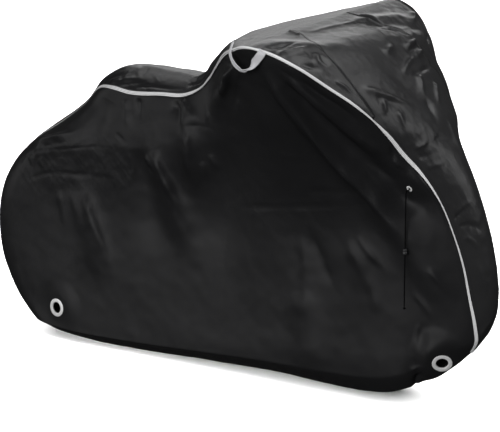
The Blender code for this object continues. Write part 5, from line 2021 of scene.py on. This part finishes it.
@dataclass
class Studio:
    """The pale floor, the soft lights and the camera of the photograph."""

    azimuth: float = 35.0
    elevation: float = 13.0
    away: float = 7.3
    scale: float = 305.0  # pixels to the metre at the target
    frame_width: int = 500
    target: tuple = (-0.277, 0.0, -0.665)
    floor: float = -1.174
    floor_size: float = 60.0
    floor_tone: float = 0.90
    floor_rough: float = 0.9
    wash: tuple = (9.0, 110.0)  # power, and spread in degrees
    surround: float = 0.03
    sensor: float = 36.0

    def build(self) -> None:
        """Make the floor, lights and camera."""
        self.build_floor()
        self.build_lights()
        self.build_camera()

    def build_floor(self) -> None:
        """A wide pale floor that the cloth doesn't mirror, with a light of its own."""
        bpy.ops.object.select_all(action="DESELECT")
        bpy.ops.mesh.primitive_plane_add(size=self.floor_size, location=(0, 0, self.floor))
        floor = bpy.context.object
        floor.name = "studio_floor"
        material = bpy.data.materials.new("pale floor")
        material.use_nodes = True
        shader = material.node_tree.nodes["Principled BSDF"]
        shader.inputs["Base Color"].default_value = (*[self.floor_tone] * 3, 1)
        shader.inputs["Roughness"].default_value = self.floor_rough
        floor.data.materials.append(material)
        floor.visible_glossy = False
        floor.visible_diffuse = False
        wash = bpy.data.lights.new("floor wash", "SUN")
        power, spread = self.wash
        wash.energy, wash.angle = power, math.radians(spread)
        light = bpy.data.objects.new("floor wash", wash)
        bpy.context.scene.collection.objects.link(light)
        light.location = (0, 0, 4)
        lit = bpy.data.collections.new("lit by the floor wash")
        lit.objects.link(floor)
        light.light_linking.receiver_collection = lit

    def build_lights(self) -> None:
        """Large soft lights above, behind and beside the camera, and a dim surround."""
        world = bpy.data.worlds.new("studio surround")
        world.use_nodes = True
        background = world.node_tree.nodes["Background"]
        background.inputs["Color"].default_value = (1, 1, 1, 1)
        background.inputs["Strength"].default_value = self.surround
        bpy.context.scene.world = world
        for name, (place, aim, width, height, power) in LIGHTS.items():
            data = bpy.data.lights.new(name, "AREA")
            data.shape = "RECTANGLE"
            data.size, data.size_y, data.energy = width, height, power
            light = bpy.data.objects.new(name, data)
            bpy.context.scene.collection.objects.link(light)
            light.location = place
            light.rotation_euler = (
                (Vector(aim) - Vector(place)).to_track_quat("-Z", "Y").to_euler()
            )
            light.visible_camera = False
            light.visible_glossy = name != "front"
            light.visible_diffuse = "sheen" not in name

    def build_camera(self) -> None:
        """A camera at the photograph's angle."""
        turn, lift = math.radians(self.azimuth), math.radians(self.elevation)
        ray = Vector(
            (math.sin(turn) * math.cos(lift), -math.cos(turn) * math.cos(lift), math.sin(lift))
        )
        data = bpy.data.cameras.new("camera")
        data.sensor_fit = "HORIZONTAL"
        data.sensor_width = self.sensor
        data.lens = self.scale * self.away * data.sensor_width / self.frame_width
        camera = bpy.data.objects.new("camera", data)
        bpy.context.scene.collection.objects.link(camera)
        camera.location = Vector(self.target) + ray * self.away
        camera.rotation_euler = (-ray).to_track_quat("-Z", "Y").to_euler()
        bpy.context.scene.camera = camera
        bpy.context.scene.view_settings.view_transform = "Standard"


def main() -> None:
    """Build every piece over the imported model."""
    logging.basicConfig(level=logging.INFO, format="%(message)s")
    noise.seed_set(NOISE_SEED)
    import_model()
    Studio().build()

    near = SidePanel(Side.NEAR).build()
    far = SidePanel(Side.FAR, columns=200, rows=110).build()
    back = REAR_KEY * shares(200)
    back = np.concatenate((back, REAR_KEY + (BAR_KEY - REAR_KEY) * shares(300)[1:]))
    front = END_KEY + (BAR_KEY - END_KEY) * shares(280)[::-1]
    corner = front[front <= SEAM_KEYS[WEDGE_END]]
    top = Strip(
        "top_strip", PANEL_CLOTH, back, 64, STRIP_CREASES, STRIP_CRUMPLES, 0.25
    ).build()
    shield = Strip(
        "front_shield", LIT_SHIELD_CLOTH, front, 120, SHIELD_CREASES, SHIELD_CRUMPLES, 0.25
    ).build()
    wedges = [
        Strip(
            "wedge_" + side.name.lower(), LIT_SHIELD_CLOTH, corner, 26, WEDGE_CREASES,
            SHIELD_CRUMPLES, 0.35, side,
        ).build()
        for side in Side
    ]
    for side in Side:
        WedgeSeam(side).build()
    tapes = [SeamTape(panel).build() for panel in (near, far)]
    tucks = [
        HemTuck("hem_tuck_rear", 0.0, 0.036).build(),
        HemTuck("hem_tuck_front", 0.895, 1.0).build(),
    ]
    loop = StrapLoop().build()

    for panel in (near, far):
        panel.stitch()
        for place, (centre, normal) in panel.spots.items():
            node = f"eyelet_{panel.word}_{place}"
            PressedRing(node + "_ring", centre, normal, *EYELET_SIZE, node).build()
    centre, normal = near.ring_spot
    PressedRing("cord_ring_pressed", centre, normal, *RING_SIZE, "cord_ring").build()
    start = centre - normal * CLOTH + (0, 0, -(RING_SIZE[1] - CORD / 2 - FIT_GAP))
    station, height = CORD_RING_PLACE
    bulge = min(
        near.surface_at(station, height - drop)[0][1]
        for drop in np.linspace(0, CORD_ROOM, 24)
    )
    cord = DrawCord(start, normal, bulge).build()

    cord.length
    sheets = (
        # piece, flat width and length, flat area, pieces sewn on it
        (near, (1.19, 1.95), 1.85, [tapes[0].item, tapes[0].stitches, *tucks]),
        (far, (1.22, 1.95), 1.80, [tapes[1].item, tapes[1].stitches]),
        (top, (0.80, 1.85), 0.46, []),
        (shield, (0.80, 1.10), 0.42, []),
        (wedges[0], (0.20, 0.45), 0.056, []),
        (wedges[1], (0.20, 0.45), 0.075, []),
    )
    for piece, flat, area, sewn in sheets:
        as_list(sewn)


if __name__ == "__main__":
    main()
